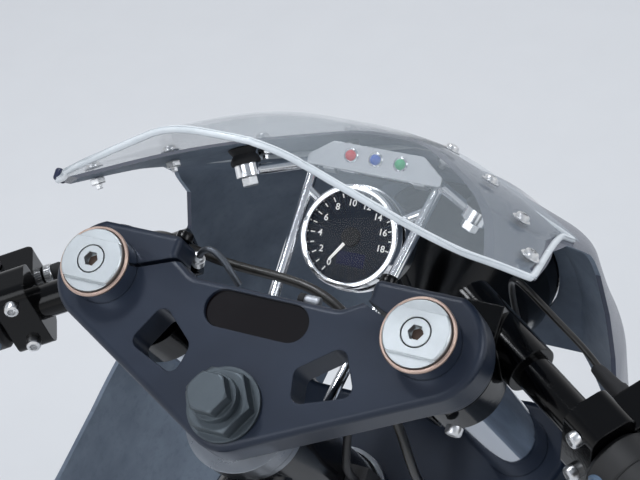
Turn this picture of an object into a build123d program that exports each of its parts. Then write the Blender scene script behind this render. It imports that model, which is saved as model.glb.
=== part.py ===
# Front end and cockpit of a cafe racer motorcycle: headstock, half fairing with its
# screen, tachometer and warning lamps, and the steered fork with its yokes and clip-ons.
#
# Millimetres. +X is the rider's right, +Y is forwards and +Z is up. The origin is the
# centre of the backbone tube's open rear end, where the rest of the frame is welded on.
import os
from math import cos, pi, radians, sin, tan

from build123d import *

os.makedirs("parts", exist_ok=True)
parts = {}

# Steering geometry
RAKE = 27.0                  # lean of the steering axis from vertical, degrees
AXIS_REACH = 95.0            # backbone mouth forward to the steering axis
YOKE_RISE = 85.0             # backbone centre line up the axis to the top yoke's upper face
FORK_SPACING = 205.0
FORK_OFFSET = 60.0           # fork legs ahead of the steering axis
STEER_LOCK = 22.0            # each way, degrees

# Clearances
FIT = 0.02                   # clamped or pressed seats
RUN = 0.05                   # running fit of the stem in its bearings
SEAT = 0.3                   # soft parts beside their seats

# Fork legs
STANCHION_R = 20.5
STANCHION_WALL = 3.5
STANCHION_PROUD = 14.0       # tube above the top yoke
STANCHION_END = 560.0        # below the top yoke's upper face
SLIDER_TOP = 430.0
SLIDER_R = 26.0
SLIDER_END = 715.0
AXLE_DROP = 690.0
AXLE_R = 7.5
AXLE_LUG_R = 19.0
AXLE_LUG_WIDE = 60.0
SEAL_CAP_R = 28.5
SEAL_CAP_TALL = 16.0

# Fork caps
CAP_R = 19.2
CAP_TALL = 6.0
CAP_STEP = 2.2               # depth of the two spanner flats cut in the cap's face
CAP_FLAT = 12.5              # cap centre to each spanner flat
ADJUSTER_R = 8.0
ADJUSTER_GROOVE = 0.8
SOCKET_FLATS = 8.0

# Yokes
YOKE_PLATE = 22.0
YOKE_BOSS = 30.0             # clamp height at the forks
YOKE_BOSS_R = 33.0
STEM_BOSS_R = 25.5
YOKE_FRONT = 68.7            # middle of the front edge, ahead of the steering axis
EAR_FRONT = 90.5
EAR_INNER = 62.0             # inner end of the pinch ears, from the middle
SLIT = 2.6
SLIT_ANGLE = 21.0
WINDOW_CORNERS = [(58, 49), (33, 29), (37, 9), (72, 22)]
WINDOW_R = 6.0
LENS_LONG = 66.0
LENS_WIDE = 23.0
LENS_AHEAD = 54.0
LENS_POCKET = 6.0
LENS_TALL = 3.5
LOWER_TALL = 34.0
LOWER_FRONT = 70.0

# Steering stem and head tube
STEM_R = 14.0
STEM_BORE_R = 9.0
STEM_PROUD = 4.0
HEAD_TOP = 46.0
HEAD_LONG = 155.0
HEAD_R = 27.0
HEAD_BORE_R = 22.0
CUP_R = 31.0
CUP_TALL = 5.0
CUP_DEPTH = 14.0
CUP_GAP = 4.0
LOWER_TOP = HEAD_TOP + HEAD_LONG + CUP_TALL + CUP_GAP    # bottom yoke's upper face below the top yoke's
COVER_R = 33.0
COVER_TALL = 14.0
NUT_FLATS = 35.0
NUT_TALL = 10.0
COLLAR_R = 14.0
COLLAR_TALL = 6.0
BOLT_FLATS = 22.0
BOLT_TALL = 9.0
WASHER_R = 22.0
WASHER_TALL = 2.5

# Frame stub
BACKBONE_R = 20.0
BACKBONE_BORE_R = 17.5
BACKBONE_FLOOR = 13.0        # solid left between the backbone's bore and the head tube
DOWN_TUBE_R = 14.0
DOWN_TUBE_BORE_R = 12.0
DOWN_TUBE_LONG = 165.0
DOWN_TUBE_START = 158.0
GUSSET = 4.0

# Clip-on handlebars
CLIP_OVER = 24.0             # clamp's top above the bar's axis, at the leg
CLIP_TALL = 30.0
CLIP_R = 29.0
CLIP_WEB = 22.0              # web between the clamp and the bar's socket
CLIP_WEB_OUT = 12.0          # web's middle outwards of the fork leg's axis
CLIP_WEB_SHARE = 0.8         # web's height to the clamp's
BAR_AHEAD = 41.0             # bar axis ahead of the fork leg
BAR_DROP = {-1: 81.0, 1: 60.0}   # bar axis below the top yoke's upper face, left and right
BAR_SWEEP = 32.0
BAR_DROOP = 10.0
BAR_R = 11.1
BAR_BORE_R = 8.5
BAR_START = -8.0
BAR_LONG = 292.0
SOCKET_R = 15.5
SOCKET_END = 52.0
GRIP_START = 158.0
GRIP_GAP = 4.0               # grip's outer end short of the bar end weight
GRIP_R = 16.5
BAR_END_R = 14.5
BAR_END_LONG = 16.0

# Tachometer
TACH_Y = 115.4
TACH_Z = -58.5
TACH_TILT = 47.0             # its face looks this far up from level, rearwards
TACH_R = 32.5
TACH_DEEP = 48.0
TACH_CASE_R = 29.5
BEZEL_TALL = 9.0
DIAL_R = 28.4
DIAL_DEEP = 5.0
GLASS_TALL = 1.6

# Lever perches and levers
PERCH_AT = 98.0
PERCH_WIDE = 24.0
PERCH_TALL = 52.0
PERCH_BACK = 15.0
PIVOT_AHEAD = 34.0
PIVOT_OUT = 16.0
PIVOT_R = 4.0
LEVER_THICK = 9.0
LEVER_BALL_R = 8.0
LEVER_PIN = 26.0
LEVER_RUN = [(0, 0, 7.6), (42, 18, 6.6), (110, 17, 5.4), (160, 8, 5.0)]
# Each station of the lever's blade: along the bar from the pivot, ahead of it, half width

# Throttle and switch housings
HOUSING_R = 21.0
HOUSING_AT = PERCH_AT + PERCH_WIDE + 1.0

# Fairing and screen
# Each row is a cross-section: distance ahead of the fork caps, then (half width, height)
# of the crown's edge, the shoulder, the waist and the foot.
FAIRING_ROWS = [
    # ahead, crown, shoulder, waist, foot
    (-90, (30, 180), (172, 100), (196, -180), (186, -420)),
    (-20, (29, 129), (165, 51), (190, -178), (183, -420)),
    (50, (28, 79), (157, 2), (182, -175), (178, -420)),
    (120, (26, 29), (149, -42), (168, -172), (166, -420)),
    (170, (23, -17), (139, -80), (154, -172), (154, -412)),
    (210, (20, -57), (116, -109), (140, -185), (140, -385)),
    (245, (17, -97), (87, -137), (116, -202), (116, -330)),
    (272, (14, -135), (64, -160), (90, -215), (86, -292)),
]
FAIRING_WALL = 3.0
SCREEN_WALL = 3.0
RIM_SLOPE = -0.405           # fall of the fairing's top rim for each millimetre forwards
RIM_Y = 39.0
RIM_Z = 23.0
SCREEN_LAP_REAR = 42.0       # screen's lower edge below the fairing's rim, at its rear corner
SCREEN_LAP_FRONT = 24.0      # and at the foremost cross-section
SCREEN_INSET = 4.0           # screen's edge inside the fairing's hand notch
CROWN_R = 70.0
SHOULDER_R = 20.0
WAIST_R = 120.0

# Headlamp
LAMP_AHEAD = FAIRING_ROWS[-1][0] + FAIRING_WALL
LAMP_Z = -216.0
LAMP_R = 70.0
RIM_R = 78.0
RIM_TALL = 10.0
LAMP_DEEP = 80.0

# Instrument stay
STAY_R = 3.5
MOUNT_X = 78.0
MOUNT_Y = 137.0
MOUNT_Z = -41.0
CROSS_Y = 163.0
CROSS_Z = -47.0
CROSS_X = 43.0
LEG_FOOT_Y = -8.0
LEG_FOOT_Z = -104.0
RING_DEEP = 16.0             # clamp ring's middle below the tachometer's face
BOBBIN_R = 10.0
BOBBIN_TALL = 16.0

# Rubber mounts
EYE_R = 8.0
EYE_TALL = 8.0
MOUNT_LEAN = (0.40, 0.57, 0.71)

# Warning lamp panel
PANEL_LONG = 92.0
PANEL_TOP = 62.0
PANEL_WIDE = 17.0
PANEL_THICK = 2.0
PANEL_TILT = 52.0
PANEL_OFF_ROD = 1.5          # panel's back face off the cross rod
JEWEL_R = 3.4
JEWEL_PITCH = 17.0
CLIP_WIDE = 8.0

# Control cables and wiring loom
CABLE_R = {-1: 3.0, 1: 2.0}  # clutch cable on the left, front brake cable on the right
CABLE_EXIT = 18.0            # straight length at each housing
CABLE_LOW = 8.0              # cable's exit from the perch, below the lever
CABLE_BOSS_R = 5.5
CABLE_BOSS = (60.0, 14.0)    # clutch cable's boss on the bottom yoke
CABLE_BOSS_TALL = 4.0
BRAKE_STOP_R = 6.0
BRAKE_STOP_AHEAD = 36.0      # brake cable's stop ahead of the right fork leg
BRAKE_STOP_DROP = 6.0        # below the seal cap's lower edge
BRAKE_STOP_TALL = 20.0
BRAKE_WEB_TALL = 14.0
LOOM_R = 2.5
CONNECTOR = (13.0, 18.0, 26.0)
CONNECTOR_TOP = -134.0

# The fairing's forms are placed from the point midway between the fork cap tops
axis_up = Vector(0, -sin(radians(RAKE)), cos(radians(RAKE)))
axis_ahead = Vector(0, cos(radians(RAKE)), sin(radians(RAKE)))
axis_point = Vector(0, AXIS_REACH, 0)
yoke_centre = axis_point + axis_up * YOKE_RISE
fork_plane = Plane(origin=yoke_centre, x_dir=(1, 0, 0), z_dir=axis_up)
CAP_PROUD = STANCHION_PROUD + CAP_TALL
caps_middle = yoke_centre + axis_ahead * FORK_OFFSET + axis_up * CAP_PROUD
sides = {"left": -1, "right": 1}


def from_caps(x, y, z):
    """A point given from the middle of the fork caps."""
    return Vector(x, y, z) + caps_middle


def on_axis(piece):
    """Turns a piece modelled about the steering axis, top yoke's face at zero, into place."""
    return fork_plane * piece


def round_bar(radius, low, high, x=0.0, y=0.0):
    """An upright cylinder between two heights."""
    return Pos(x, y, (low + high) / 2) * Cylinder(radius, high - low)


def ring(outer, inner, low, high, x=0.0, y=0.0):
    """An upright tube between two heights."""
    return round_bar(outer, low, high, x, y) - round_bar(inner, low - 1, high + 1, x, y)


def rod(start, end, radius):
    """A round rod from point to point."""
    start, end = Vector(start), Vector(end)
    plane = Plane(origin=start, z_dir=end - start)
    return plane * (Pos(0, 0, (end - start).length / 2) * Cylinder(radius, (end - start).length))


def side_view(points, half_width):
    """A block whose outline is drawn in the side view, as (forwards, up) from the fork caps."""
    outline = make_face(Plane.YZ * Polyline(*points, close=True))
    block = extrude(outline, amount=half_width, both=True)
    return Pos(caps_middle.X, caps_middle.Y, caps_middle.Z) * block


def rounded(points, radii):
    """Straight edges through the points, each inner corner rounded by a tangent arc."""
    points = [Vector(*point) for point in points]
    edges = []
    start = points[0]
    for before, corner, after, radius in zip(points, points[1:], points[2:], radii):
        back, ahead = (before - corner).normalized(), (after - corner).normalized()
        half_angle = radians(back.get_angle(ahead)) / 2
        reach = radius / tan(half_angle)
        centre = corner + (back + ahead).normalized() * (radius / sin(half_angle))
        middle = centre + (corner - centre).normalized() * radius
        edges.append(Edge.make_line(start, corner + back * reach))
        edges.append(Edge.make_three_point_arc(corner + back * reach, middle, corner + ahead * reach))
        start = corner + ahead * reach
    edges.append(Edge.make_line(start, points[-1]))
    return edges


# Yokes


def yoke_outline(front):
    """The plate's outline seen along the steering axis."""
    discs = Circle(STEM_BOSS_R)
    for side in sides.values():
        discs += Pos(side * FORK_SPACING / 2, FORK_OFFSET) * Circle(YOKE_BOSS_R)
    hull = make_hull(discs.edges())
    half = [(FORK_SPACING, EAR_FRONT), (EAR_INNER, EAR_FRONT), (EAR_INNER, front + 9), (EAR_INNER - 15, front)]
    other_half = [(-x, y) for x, y in reversed(half)]
    front_edge = rounded([*half, *other_half], [4, 4, 10, 10, 4, 4])
    beyond = Polyline(other_half[-1], (-FORK_SPACING, 2 * FORK_SPACING), (FORK_SPACING, 2 * FORK_SPACING), half[0])
    return hull - make_face(Wire([*front_edge, *beyond.edges()]))


def yoke_body(front, plate, boss, edge):
    """The plate with its deeper fork bosses, upper face at zero."""
    body = extrude(yoke_outline(front), amount=-plate)
    body = fillet(body.faces().sort_by(Axis.Z)[-1].edges(), edge)
    for side in sides.values():
        body += round_bar(YOKE_BOSS_R - edge / 2, -boss, -edge, side * FORK_SPACING / 2, FORK_OFFSET)
    return body


def yoke_clamps(depth):
    """The fork bores and pinch slits, as cutters."""
    cutters = []
    for side in sides.values():
        x = side * FORK_SPACING / 2
        cutters.append(round_bar(STANCHION_R + FIT, -depth - 1, 1, x, FORK_OFFSET))
        slit = Pos(-side * 35, 0, -depth / 2) * Box(40, SLIT, depth + 2)
        cutters.append(Pos(x, FORK_OFFSET) * Rot(0, 0, -side * SLIT_ANGLE) * slit)
    return cutters


def top_yoke():
    body = yoke_body(YOKE_FRONT, YOKE_PLATE, YOKE_BOSS, 4.0)
    for cutter in yoke_clamps(YOKE_BOSS):
        body -= cutter
    window = make_face(Polyline(*WINDOW_CORNERS, close=True))
    window = fillet(window.vertices(), WINDOW_R)
    for tool in (window, mirror(window, Plane.YZ)):
        body -= Pos(0, 0, -YOKE_BOSS) * extrude(tool, amount=YOKE_BOSS + 1)
    pocket = Pos(0, LENS_AHEAD, -LENS_POCKET) * SlotOverall(LENS_LONG, LENS_WIDE)
    body -= extrude(pocket, amount=LENS_POCKET + 1)
    body -= round_bar(STEM_R + FIT, -YOKE_BOSS, 1)
    return on_axis(body)


def bottom_yoke():
    body = yoke_body(LOWER_FRONT, LOWER_TALL, LOWER_TALL + 4, 4.0)
    for cutter in yoke_clamps(LOWER_TALL + 4):
        body -= cutter
    body += round_bar(CABLE_BOSS_R, -LOWER_TALL / 2, CABLE_BOSS_TALL, *CABLE_BOSS)
    body -= round_bar(STEM_R + FIT, -LOWER_TALL - 1, 1)
    return on_axis(Pos(0, 0, -LOWER_TOP) * body)


parts["top_yoke"] = top_yoke()
parts["bottom_yoke"] = bottom_yoke()
lens = Pos(0, LENS_AHEAD, -LENS_POCKET) * SlotOverall(LENS_LONG - 2 * FIT, LENS_WIDE - 2 * FIT)
parts["yoke_lens"] = on_axis(extrude(lens, amount=LENS_TALL))

# Steering stem, its nut and the bearing's dust cover


def hexagon(flats, low, high):
    """An upright hexagonal prism with its top corners broken."""
    prism = Pos(0, 0, low) * extrude(RegularPolygon(flats / 2, 6, major_radius=False), amount=high - low)
    cone_r = flats / 2 * 1.02
    limit = Pos(0, 0, (low + high) / 2) * Cylinder(flats, high - low)
    limit = chamfer(limit.faces().sort_by(Axis.Z)[-1].edges(), length=flats * 0.25, length2=flats - cone_r)
    return prism & limit


stem = ring(STEM_R, STEM_BORE_R, -LOWER_TOP - LOWER_TALL, STEM_PROUD)
parts["steering_stem"] = on_axis(stem)
washer = ring(WASHER_R, STEM_R + FIT, 0, WASHER_TALL)
nut = hexagon(NUT_FLATS, WASHER_TALL, WASHER_TALL + NUT_TALL)
nut -= round_bar(STEM_R + FIT, 0, STEM_PROUD + FIT)
parts["stem_nut"] = on_axis(washer + nut)
collar_low = WASHER_TALL + NUT_TALL
collar = round_bar(COLLAR_R, collar_low, collar_low + COLLAR_TALL)
bolt = hexagon(BOLT_FLATS, collar_low + COLLAR_TALL, collar_low + COLLAR_TALL + BOLT_TALL)
parts["stem_bolt"] = on_axis(collar + bolt)
cover_top = -YOKE_PLATE
cover = ring(COVER_R, STEM_R + FIT, cover_top - COVER_TALL, cover_top)
cover = chamfer(cover.edges().filter_by(GeomType.CIRCLE).sort_by(Axis.Z)[-1:], 1.5)
parts["dust_cover"] = on_axis(cover)

# Headstock: head tube, backbone stub, two down tube stubs and their gussets


def down_tube_points(side):
    """Start on the head tube's axis and open lower end."""
    start = yoke_centre - axis_up * DOWN_TUBE_START
    way = Vector(side * 0.34, -0.55, -0.78).normalized()
    return start, start + way * DOWN_TUBE_LONG


def headstock():
    head = round_bar(HEAD_R, -HEAD_TOP - HEAD_LONG, -HEAD_TOP)
    body = on_axis(head)
    body += rod((0, 0, 0), (0, AXIS_REACH, 0), BACKBONE_R)
    for side in sides.values():
        body += rod(*down_tube_points(side), DOWN_TUBE_R)
    start, end = down_tube_points(0)
    low = start + (end - start) * 0.45
    web = make_face(Plane.YZ * Polyline(
        (AXIS_REACH - 60, 0), (AXIS_REACH, 0), (start.Y, start.Z), (low.Y, low.Z), close=True))
    body += extrude(web, amount=GUSSET / 2, both=True)
    body -= rod((0, -1, 0), (0, AXIS_REACH - HEAD_R - BACKBONE_FLOOR, 0), BACKBONE_BORE_R)
    for side in sides.values():
        start, end = down_tube_points(side)
        way = (end - start).normalized()
        body -= rod(start + way * HEAD_R * 2, end + way, DOWN_TUBE_BORE_R)
    body -= on_axis(round_bar(HEAD_BORE_R, -HEAD_TOP - HEAD_LONG - 1, -HEAD_TOP + 1))
    return body


def bearing_cup():
    """A cup with its flange at zero and its sleeve reaching down."""
    cup = ring(CUP_R, STEM_R + RUN, 0, CUP_TALL)
    cup += ring(HEAD_BORE_R - FIT, STEM_R + RUN, -CUP_DEPTH, 0)
    return cup


parts["headstock"] = headstock()
upper_cup = Pos(0, 0, -HEAD_TOP) * bearing_cup()
lower_cup = Pos(0, 0, -HEAD_TOP - HEAD_LONG) * Rot(180, 0, 0) * bearing_cup()
parts["bearing_cups"] = Compound(children=[on_axis(upper_cup), on_axis(lower_cup)])

# Fork legs, one of each on either side


def stanchion():
    tube = ring(STANCHION_R, STANCHION_R - STANCHION_WALL, -STANCHION_END, STANCHION_PROUD)
    return tube


def fork_cap():
    """Cap pressed in the tube's mouth: stepped face, ring groove and hexagon socket."""
    top = STANCHION_PROUD + CAP_TALL
    cap = round_bar(STANCHION_R - STANCHION_WALL - FIT, STANCHION_PROUD - 12, STANCHION_PROUD)
    cap += round_bar(CAP_R, STANCHION_PROUD, top)
    cap = chamfer(cap.edges().filter_by(GeomType.CIRCLE).sort_by(Axis.Z)[-1:], 0.8)
    for way in (-1, 1):
        cap -= Pos(0, way * (CAP_FLAT + CAP_R), top) * Box(4 * CAP_R, 2 * CAP_R, 2 * CAP_STEP)
    cap -= ring(ADJUSTER_R + ADJUSTER_GROOVE, ADJUSTER_R, top - 3, top + 1)
    socket = Pos(0, 0, top - 5) * extrude(RegularPolygon(SOCKET_FLATS / 2, 6, major_radius=False), amount=6)
    return cap - socket


def slider():
    """Lower leg with its seal cap ring and the axle lug."""
    leg = round_bar(SLIDER_R, -SLIDER_END, -SLIDER_TOP)
    leg += ring(SEAL_CAP_R, STANCHION_R, -SLIDER_TOP - SEAL_CAP_TALL, -SLIDER_TOP)
    leg -= round_bar(STANCHION_R + FIT, -STANCHION_END - 2, -SLIDER_TOP + 1)
    leg += Pos(0, 0, -AXLE_DROP) * Rot(0, 90, 0) * Cylinder(AXLE_LUG_R, AXLE_LUG_WIDE)
    leg -= Pos(0, 0, -AXLE_DROP) * Rot(0, 90, 0) * Cylinder(AXLE_R, AXLE_LUG_WIDE + 1)
    return leg


brake_stop_top = -SLIDER_TOP - SEAL_CAP_TALL - BRAKE_STOP_DROP


def brake_stop():
    """The brake cable's stop on a web ahead of the right slider."""
    low = brake_stop_top - BRAKE_STOP_TALL
    reach = BRAKE_STOP_AHEAD - SLIDER_R + 2
    web = Pos(0, BRAKE_STOP_AHEAD - reach / 2, low + BRAKE_STOP_TALL / 2)
    stop = web * Box(BRAKE_STOP_R, reach, BRAKE_WEB_TALL)
    return stop + round_bar(BRAKE_STOP_R, low, brake_stop_top, 0, BRAKE_STOP_AHEAD)


for name, side in sides.items():
    place = fork_plane * Pos(side * FORK_SPACING / 2, FORK_OFFSET, 0)
    parts["stanchion_" + name] = place * stanchion()
    parts["fork_cap_" + name] = place * fork_cap()
    parts["fork_slider_" + name] = place * (slider() + brake_stop() if side > 0 else slider())

# Clip-on handlebars with their grips


def bar_plane(side):
    """Origin beside the fork leg on the bar's axis, Z outwards along the bar, X upwards."""
    start = yoke_centre + Vector(side * FORK_SPACING / 2, 0, 0)
    start += axis_ahead * (FORK_OFFSET + BAR_AHEAD) - axis_up * BAR_DROP[side]
    sweep, droop = radians(BAR_SWEEP), radians(BAR_DROOP)
    way = Vector(side * cos(droop) * cos(sweep), -cos(droop) * sin(sweep), -sin(droop))
    up = Vector(0, 0, 1)
    return Plane(origin=start, x_dir=up - way * up.dot(way), z_dir=way)


def clip_on(side):
    """Clamp ring on the fork leg with the bar's socket ahead of it."""
    top = CLIP_OVER - BAR_DROP[side]
    middle = top - CLIP_TALL / 2
    x = side * FORK_SPACING / 2
    body = on_axis(round_bar(CLIP_R, top - CLIP_TALL, top, x, FORK_OFFSET))
    body += bar_plane(side) * round_bar(SOCKET_R, BAR_START, SOCKET_END)
    web = Pos(x + side * CLIP_WEB_OUT, FORK_OFFSET + BAR_AHEAD / 2, middle)
    body += on_axis(web * Box(CLIP_WEB, BAR_AHEAD, CLIP_TALL * CLIP_WEB_SHARE))
    body -= on_axis(round_bar(STANCHION_R + FIT, top - CLIP_TALL - CLIP_R, top + CLIP_R, x, FORK_OFFSET))
    body -= bar_plane(side) * round_bar(BAR_R + FIT, BAR_START - 1, SOCKET_END + 1)
    slit = Pos(x, FORK_OFFSET - STANCHION_R - CLIP_R / 2, middle) * Box(SLIT, CLIP_R, CLIP_TALL + 1)
    return body - on_axis(slit)


def grip():
    """Rubber grip with an inner flange, along the bar."""
    end = BAR_START + BAR_LONG - GRIP_GAP
    body = round_bar(GRIP_R, GRIP_START, end)
    body += round_bar(GRIP_R + 5, GRIP_START, GRIP_START + 5)
    body -= round_bar(BAR_R + SEAT, GRIP_START - 1, end + 1)
    return body


def bar_end():
    """Aluminium end weight plugged in the bar."""
    start = BAR_LONG + BAR_START
    body = round_bar(BAR_END_R, start, start + BAR_END_LONG)
    body = chamfer(body.edges().filter_by(GeomType.CIRCLE).sort_by(Axis.Z)[-1:], 3)
    return body + round_bar(BAR_BORE_R - FIT, start - 25, start)


for name, side in sides.items():
    place = bar_plane(side)
    parts["clip_on_" + name] = clip_on(side)
    parts["handlebar_" + name] = place * ring(BAR_R, BAR_BORE_R, BAR_START, BAR_LONG + BAR_START)
    parts["grip_" + name] = place * grip()
    parts["bar_end_" + name] = place * bar_end()

# Lever perches and levers
def perch(side):
    """Two-screw clamp on the bar with the lever's forked pivot ahead of it."""
    middle = PERCH_AT + PERCH_WIDE / 2
    end = PERCH_AT + PERCH_WIDE
    fork_end = middle + PIVOT_OUT + PIVOT_R + 5
    way = -side
    body = Pos(0, 0, middle) * Box(PERCH_TALL, 2 * PERCH_BACK, PERCH_WIDE)
    body = fillet(body.edges().filter_by(Axis.Z), 8)
    body += Pos(0, way * PIVOT_AHEAD / 2, middle) * Box(24, PIVOT_AHEAD, PERCH_WIDE)
    fork = Box(24, PIVOT_AHEAD + PIVOT_R + 6 - HOUSING_R - 2, fork_end - PERCH_AT)
    fork = Pos(0, way * (HOUSING_R + 2 + PIVOT_AHEAD + PIVOT_R + 6) / 2, (PERCH_AT + fork_end) / 2) * fork
    body += fillet(fork.edges().filter_by(Axis.X), 5)
    body -= Pos(0, way * (PIVOT_AHEAD + 12), end + 10) * Box(LEVER_THICK + 1, 40, fork_end - end + 24)
    body -= Pos(0, way * PIVOT_AHEAD, middle + PIVOT_OUT) * Rot(0, 90, 0) * Cylinder(PIVOT_R + FIT, 40)
    body -= round_bar(BAR_R + FIT, PERCH_AT - 1, end + 1)
    return body


def lever(side):
    """Flat tapered blade with its ball end and pivot pin."""
    pivot = PERCH_AT + PERCH_WIDE / 2 + PIVOT_OUT
    stations = [Pos(-side * (PIVOT_AHEAD + ahead), pivot + along) * Circle(half)
                for along, ahead, half in LEVER_RUN]
    blade = stations[0]
    for near, far in zip(stations, stations[1:]):
        blade += make_hull([*near.edges(), *far.edges()])
    body = extrude(Plane.YZ * blade, amount=LEVER_THICK / 2, both=True)
    along, ahead, half = LEVER_RUN[-1]
    body += Pos(0, -side * (PIVOT_AHEAD + ahead), pivot + along) * Sphere(LEVER_BALL_R)
    body += Pos(0, -side * PIVOT_AHEAD, pivot) * Rot(0, 90, 0) * Cylinder(PIVOT_R, LEVER_PIN)
    return body


# Throttle and switch housings beside the grips
lever_names = {"left": "clutch", "right": "brake"}
for name, side in sides.items():
    place = bar_plane(side)
    parts[lever_names[name] + "_perch"] = place * perch(side)
    parts[lever_names[name] + "_lever"] = place * lever(side)


def housing():
    body = round_bar(HOUSING_R, HOUSING_AT, GRIP_START)
    body = chamfer(body.edges().filter_by(GeomType.CIRCLE), 3)
    return body - round_bar(BAR_R + FIT, HOUSING_AT - 1, GRIP_START + 1)


parts["switch_housing"] = bar_plane(-1) * housing()
parts["throttle_housing"] = bar_plane(1) * housing()

# Half fairing and screen.
def arch(row, grow):
    """One cross-section's line from foot to foot, moved outwards by grow."""
    ahead, crown, shoulder, waist, base = row
    half = [
        (crown[0] + grow * 0.3, crown[1] + grow),
        (shoulder[0] + grow, shoulder[1] + grow * 0.6),
        (waist[0] + grow, waist[1]),
        (base[0] + grow, base[1]),
    ]
    points = [(-x, z) for x, z in reversed(half)] + half
    crown_r = CROWN_R * min(1.0, crown[0] / 28.0) + grow
    shoulder_r = SHOULDER_R + grow
    edges = rounded(points, [WAIST_R, shoulder_r, crown_r, crown_r, shoulder_r, WAIST_R])
    return edges, points[0], points[-1]


def section_plane(ahead):
    return Plane(origin=from_caps(0, ahead, 0), x_dir=(1, 0, 0), z_dir=(0, -1, 0))


def hull_wall(inner, outer):
    """The wall between two offsets of the fairing's form, open at the rear and below."""
    sections = []
    for row in FAIRING_ROWS:
        outside, outer_left, outer_right = arch(row, outer)
        inside, inner_left, inner_right = arch(row, inner)
        feet = [Edge.make_line(outer_right, inner_right), Edge.make_line(inner_left, outer_left)]
        sections.append(section_plane(row[0]) * make_face(Wire([*outside, *inside, *feet])))
    return loft(sections)


def nose_plate(inner, outer):
    """The wall across the foremost cross-section."""
    row = FAIRING_ROWS[-1]
    edges, left, right = arch(row, outer)
    face = section_plane(row[0]) * make_face(Wire([*edges, Edge.make_line(right, left)]))
    return extrude(face, amount=-(outer - inner))


def rim_height(ahead, drop=0.0):
    return RIM_Z + RIM_SLOPE * (ahead - RIM_Y) - drop


far_rear, far_front = -200, 400
trailing_edge = [(8, 112), (12, 92), (16, 64), (24, 43), (39, 23), (50, 5)]
hand_notch = [(50, 5), (75, -9), (103, -24), (129, -43), (148, -66), (158, -92), (156, -122),
              (142, -145), (108, -168), (40, -200), (-90, -250)]


def fairing_shell():
    shell = hull_wall(-FAIRING_WALL, 0) + nose_plate(-FAIRING_WALL, 0)
    above = [(far_rear, rim_height(far_rear)), (far_front, rim_height(far_front)),
             (far_front, 400), (far_rear, 400)]
    shell -= side_view(above, 400)
    rear = [(far_rear, 400), (39, 400), trailing_edge[-2], *hand_notch, (far_rear, -250)]
    shell -= side_view(rear, 400)
    lamp = from_caps(0, LAMP_AHEAD, LAMP_Z)
    shell -= rod(lamp - Vector(0, 40, 0), lamp + Vector(0, 60, 0), LAMP_R)
    return shell


def windscreen():
    screen = hull_wall(SEAT, SEAT + SCREEN_WALL)
    foremost = FAIRING_ROWS[-1][0]
    rear_edge = (RIM_Y, rim_height(RIM_Y, SCREEN_LAP_REAR))
    front_edge = (foremost, rim_height(foremost, SCREEN_LAP_FRONT))
    below = [(far_rear, rear_edge[1]), rear_edge, front_edge,
             (far_front, rim_height(far_front, SCREEN_LAP_FRONT)), (far_front, -600), (far_rear, -600)]
    screen -= side_view(below, 400)
    rear = [(far_rear, 400), (8, 400), *trailing_edge, (50, -600), (far_rear, -600)]
    screen -= side_view(rear, 400)
    notch = [(ahead + SCREEN_INSET, up + SCREEN_INSET) for ahead, up in hand_notch]
    return screen - side_view([(far_rear, notch[0][1]), *notch], 400)


# Headlamp in the fairing's nose
parts["fairing"] = fairing_shell()
parts["windscreen"] = windscreen()

lamp_plane = Plane(origin=from_caps(0, LAMP_AHEAD, LAMP_Z), x_dir=(-1, 0, 0), z_dir=(0, 1, 0))
bowl_r = LAMP_R - 1
bowl_line = Polyline((0, -LAMP_DEEP), (35, -LAMP_DEEP), (62, -45), (bowl_r, -20), (bowl_r, 0), (0, 0), close=True)
bowl = revolve(make_face(Plane.XZ * bowl_line), Axis.Z)
parts["headlamp_bowl"] = lamp_plane * bowl
parts["headlamp_rim"] = lamp_plane * chamfer(
    ring(RIM_R, LAMP_R - 6, 0, RIM_TALL).edges().filter_by(GeomType.CIRCLE).sort_by(Axis.Z)[-2:-1], 3)
lens_r = LAMP_R - 6 - FIT
lens_arc = ThreePointArc((0, 14), (lens_r * 0.55, 11.5), (lens_r, 5))
lens_line = Polyline((lens_r, 5), (lens_r, 0), (0, 0), (0, 14))
lens_face = make_face(Plane.XZ * Wire([lens_arc, *lens_line.edges()]))
parts["headlamp_lens"] = lamp_plane * revolve(lens_face, Axis.Z)

# Tachometer
tach_tilt = radians(TACH_TILT)
tach_plane = Plane(origin=from_caps(0, TACH_Y, TACH_Z), x_dir=(1, 0, 0),
                   z_dir=(0, -cos(tach_tilt), sin(tach_tilt)))
case = round_bar(TACH_CASE_R, -TACH_DEEP, -BEZEL_TALL)
case = fillet(case.edges().filter_by(GeomType.CIRCLE).sort_by(Axis.Z)[:1], 6)
parts["tachometer_case"] = tach_plane * case
bezel = ring(TACH_R, DIAL_R + FIT, -BEZEL_TALL, 0)
bezel = fillet(bezel.edges().filter_by(GeomType.CIRCLE).sort_by(Axis.Z)[-2:], 1.2)
parts["tachometer_bezel"] = tach_plane * bezel
parts["tachometer_dial"] = tach_plane * round_bar(DIAL_R, -BEZEL_TALL, -DIAL_DEEP)
parts["tachometer_glass"] = tach_plane * round_bar(DIAL_R, -GLASS_TALL - 1, -1)

# Chrome rod stay: cross rod between the two rubber mounts, legs back to the headstock
leg_foot = {side: from_caps(side * (HEAD_R - 2), LEG_FOOT_Y, LEG_FOOT_Z) for side in sides.values()}
cross_end = {side: from_caps(side * CROSS_X, CROSS_Y, CROSS_Z) for side in sides.values()}
mount_eye = {side: from_caps(side * MOUNT_X, MOUNT_Y, MOUNT_Z) for side in sides.values()}


def mount_way(side):
    """The way a rubber mount leans from the stay's eye to the fairing."""
    return Vector(side * MOUNT_LEAN[0], *MOUNT_LEAN[1:]).normalized()


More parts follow.
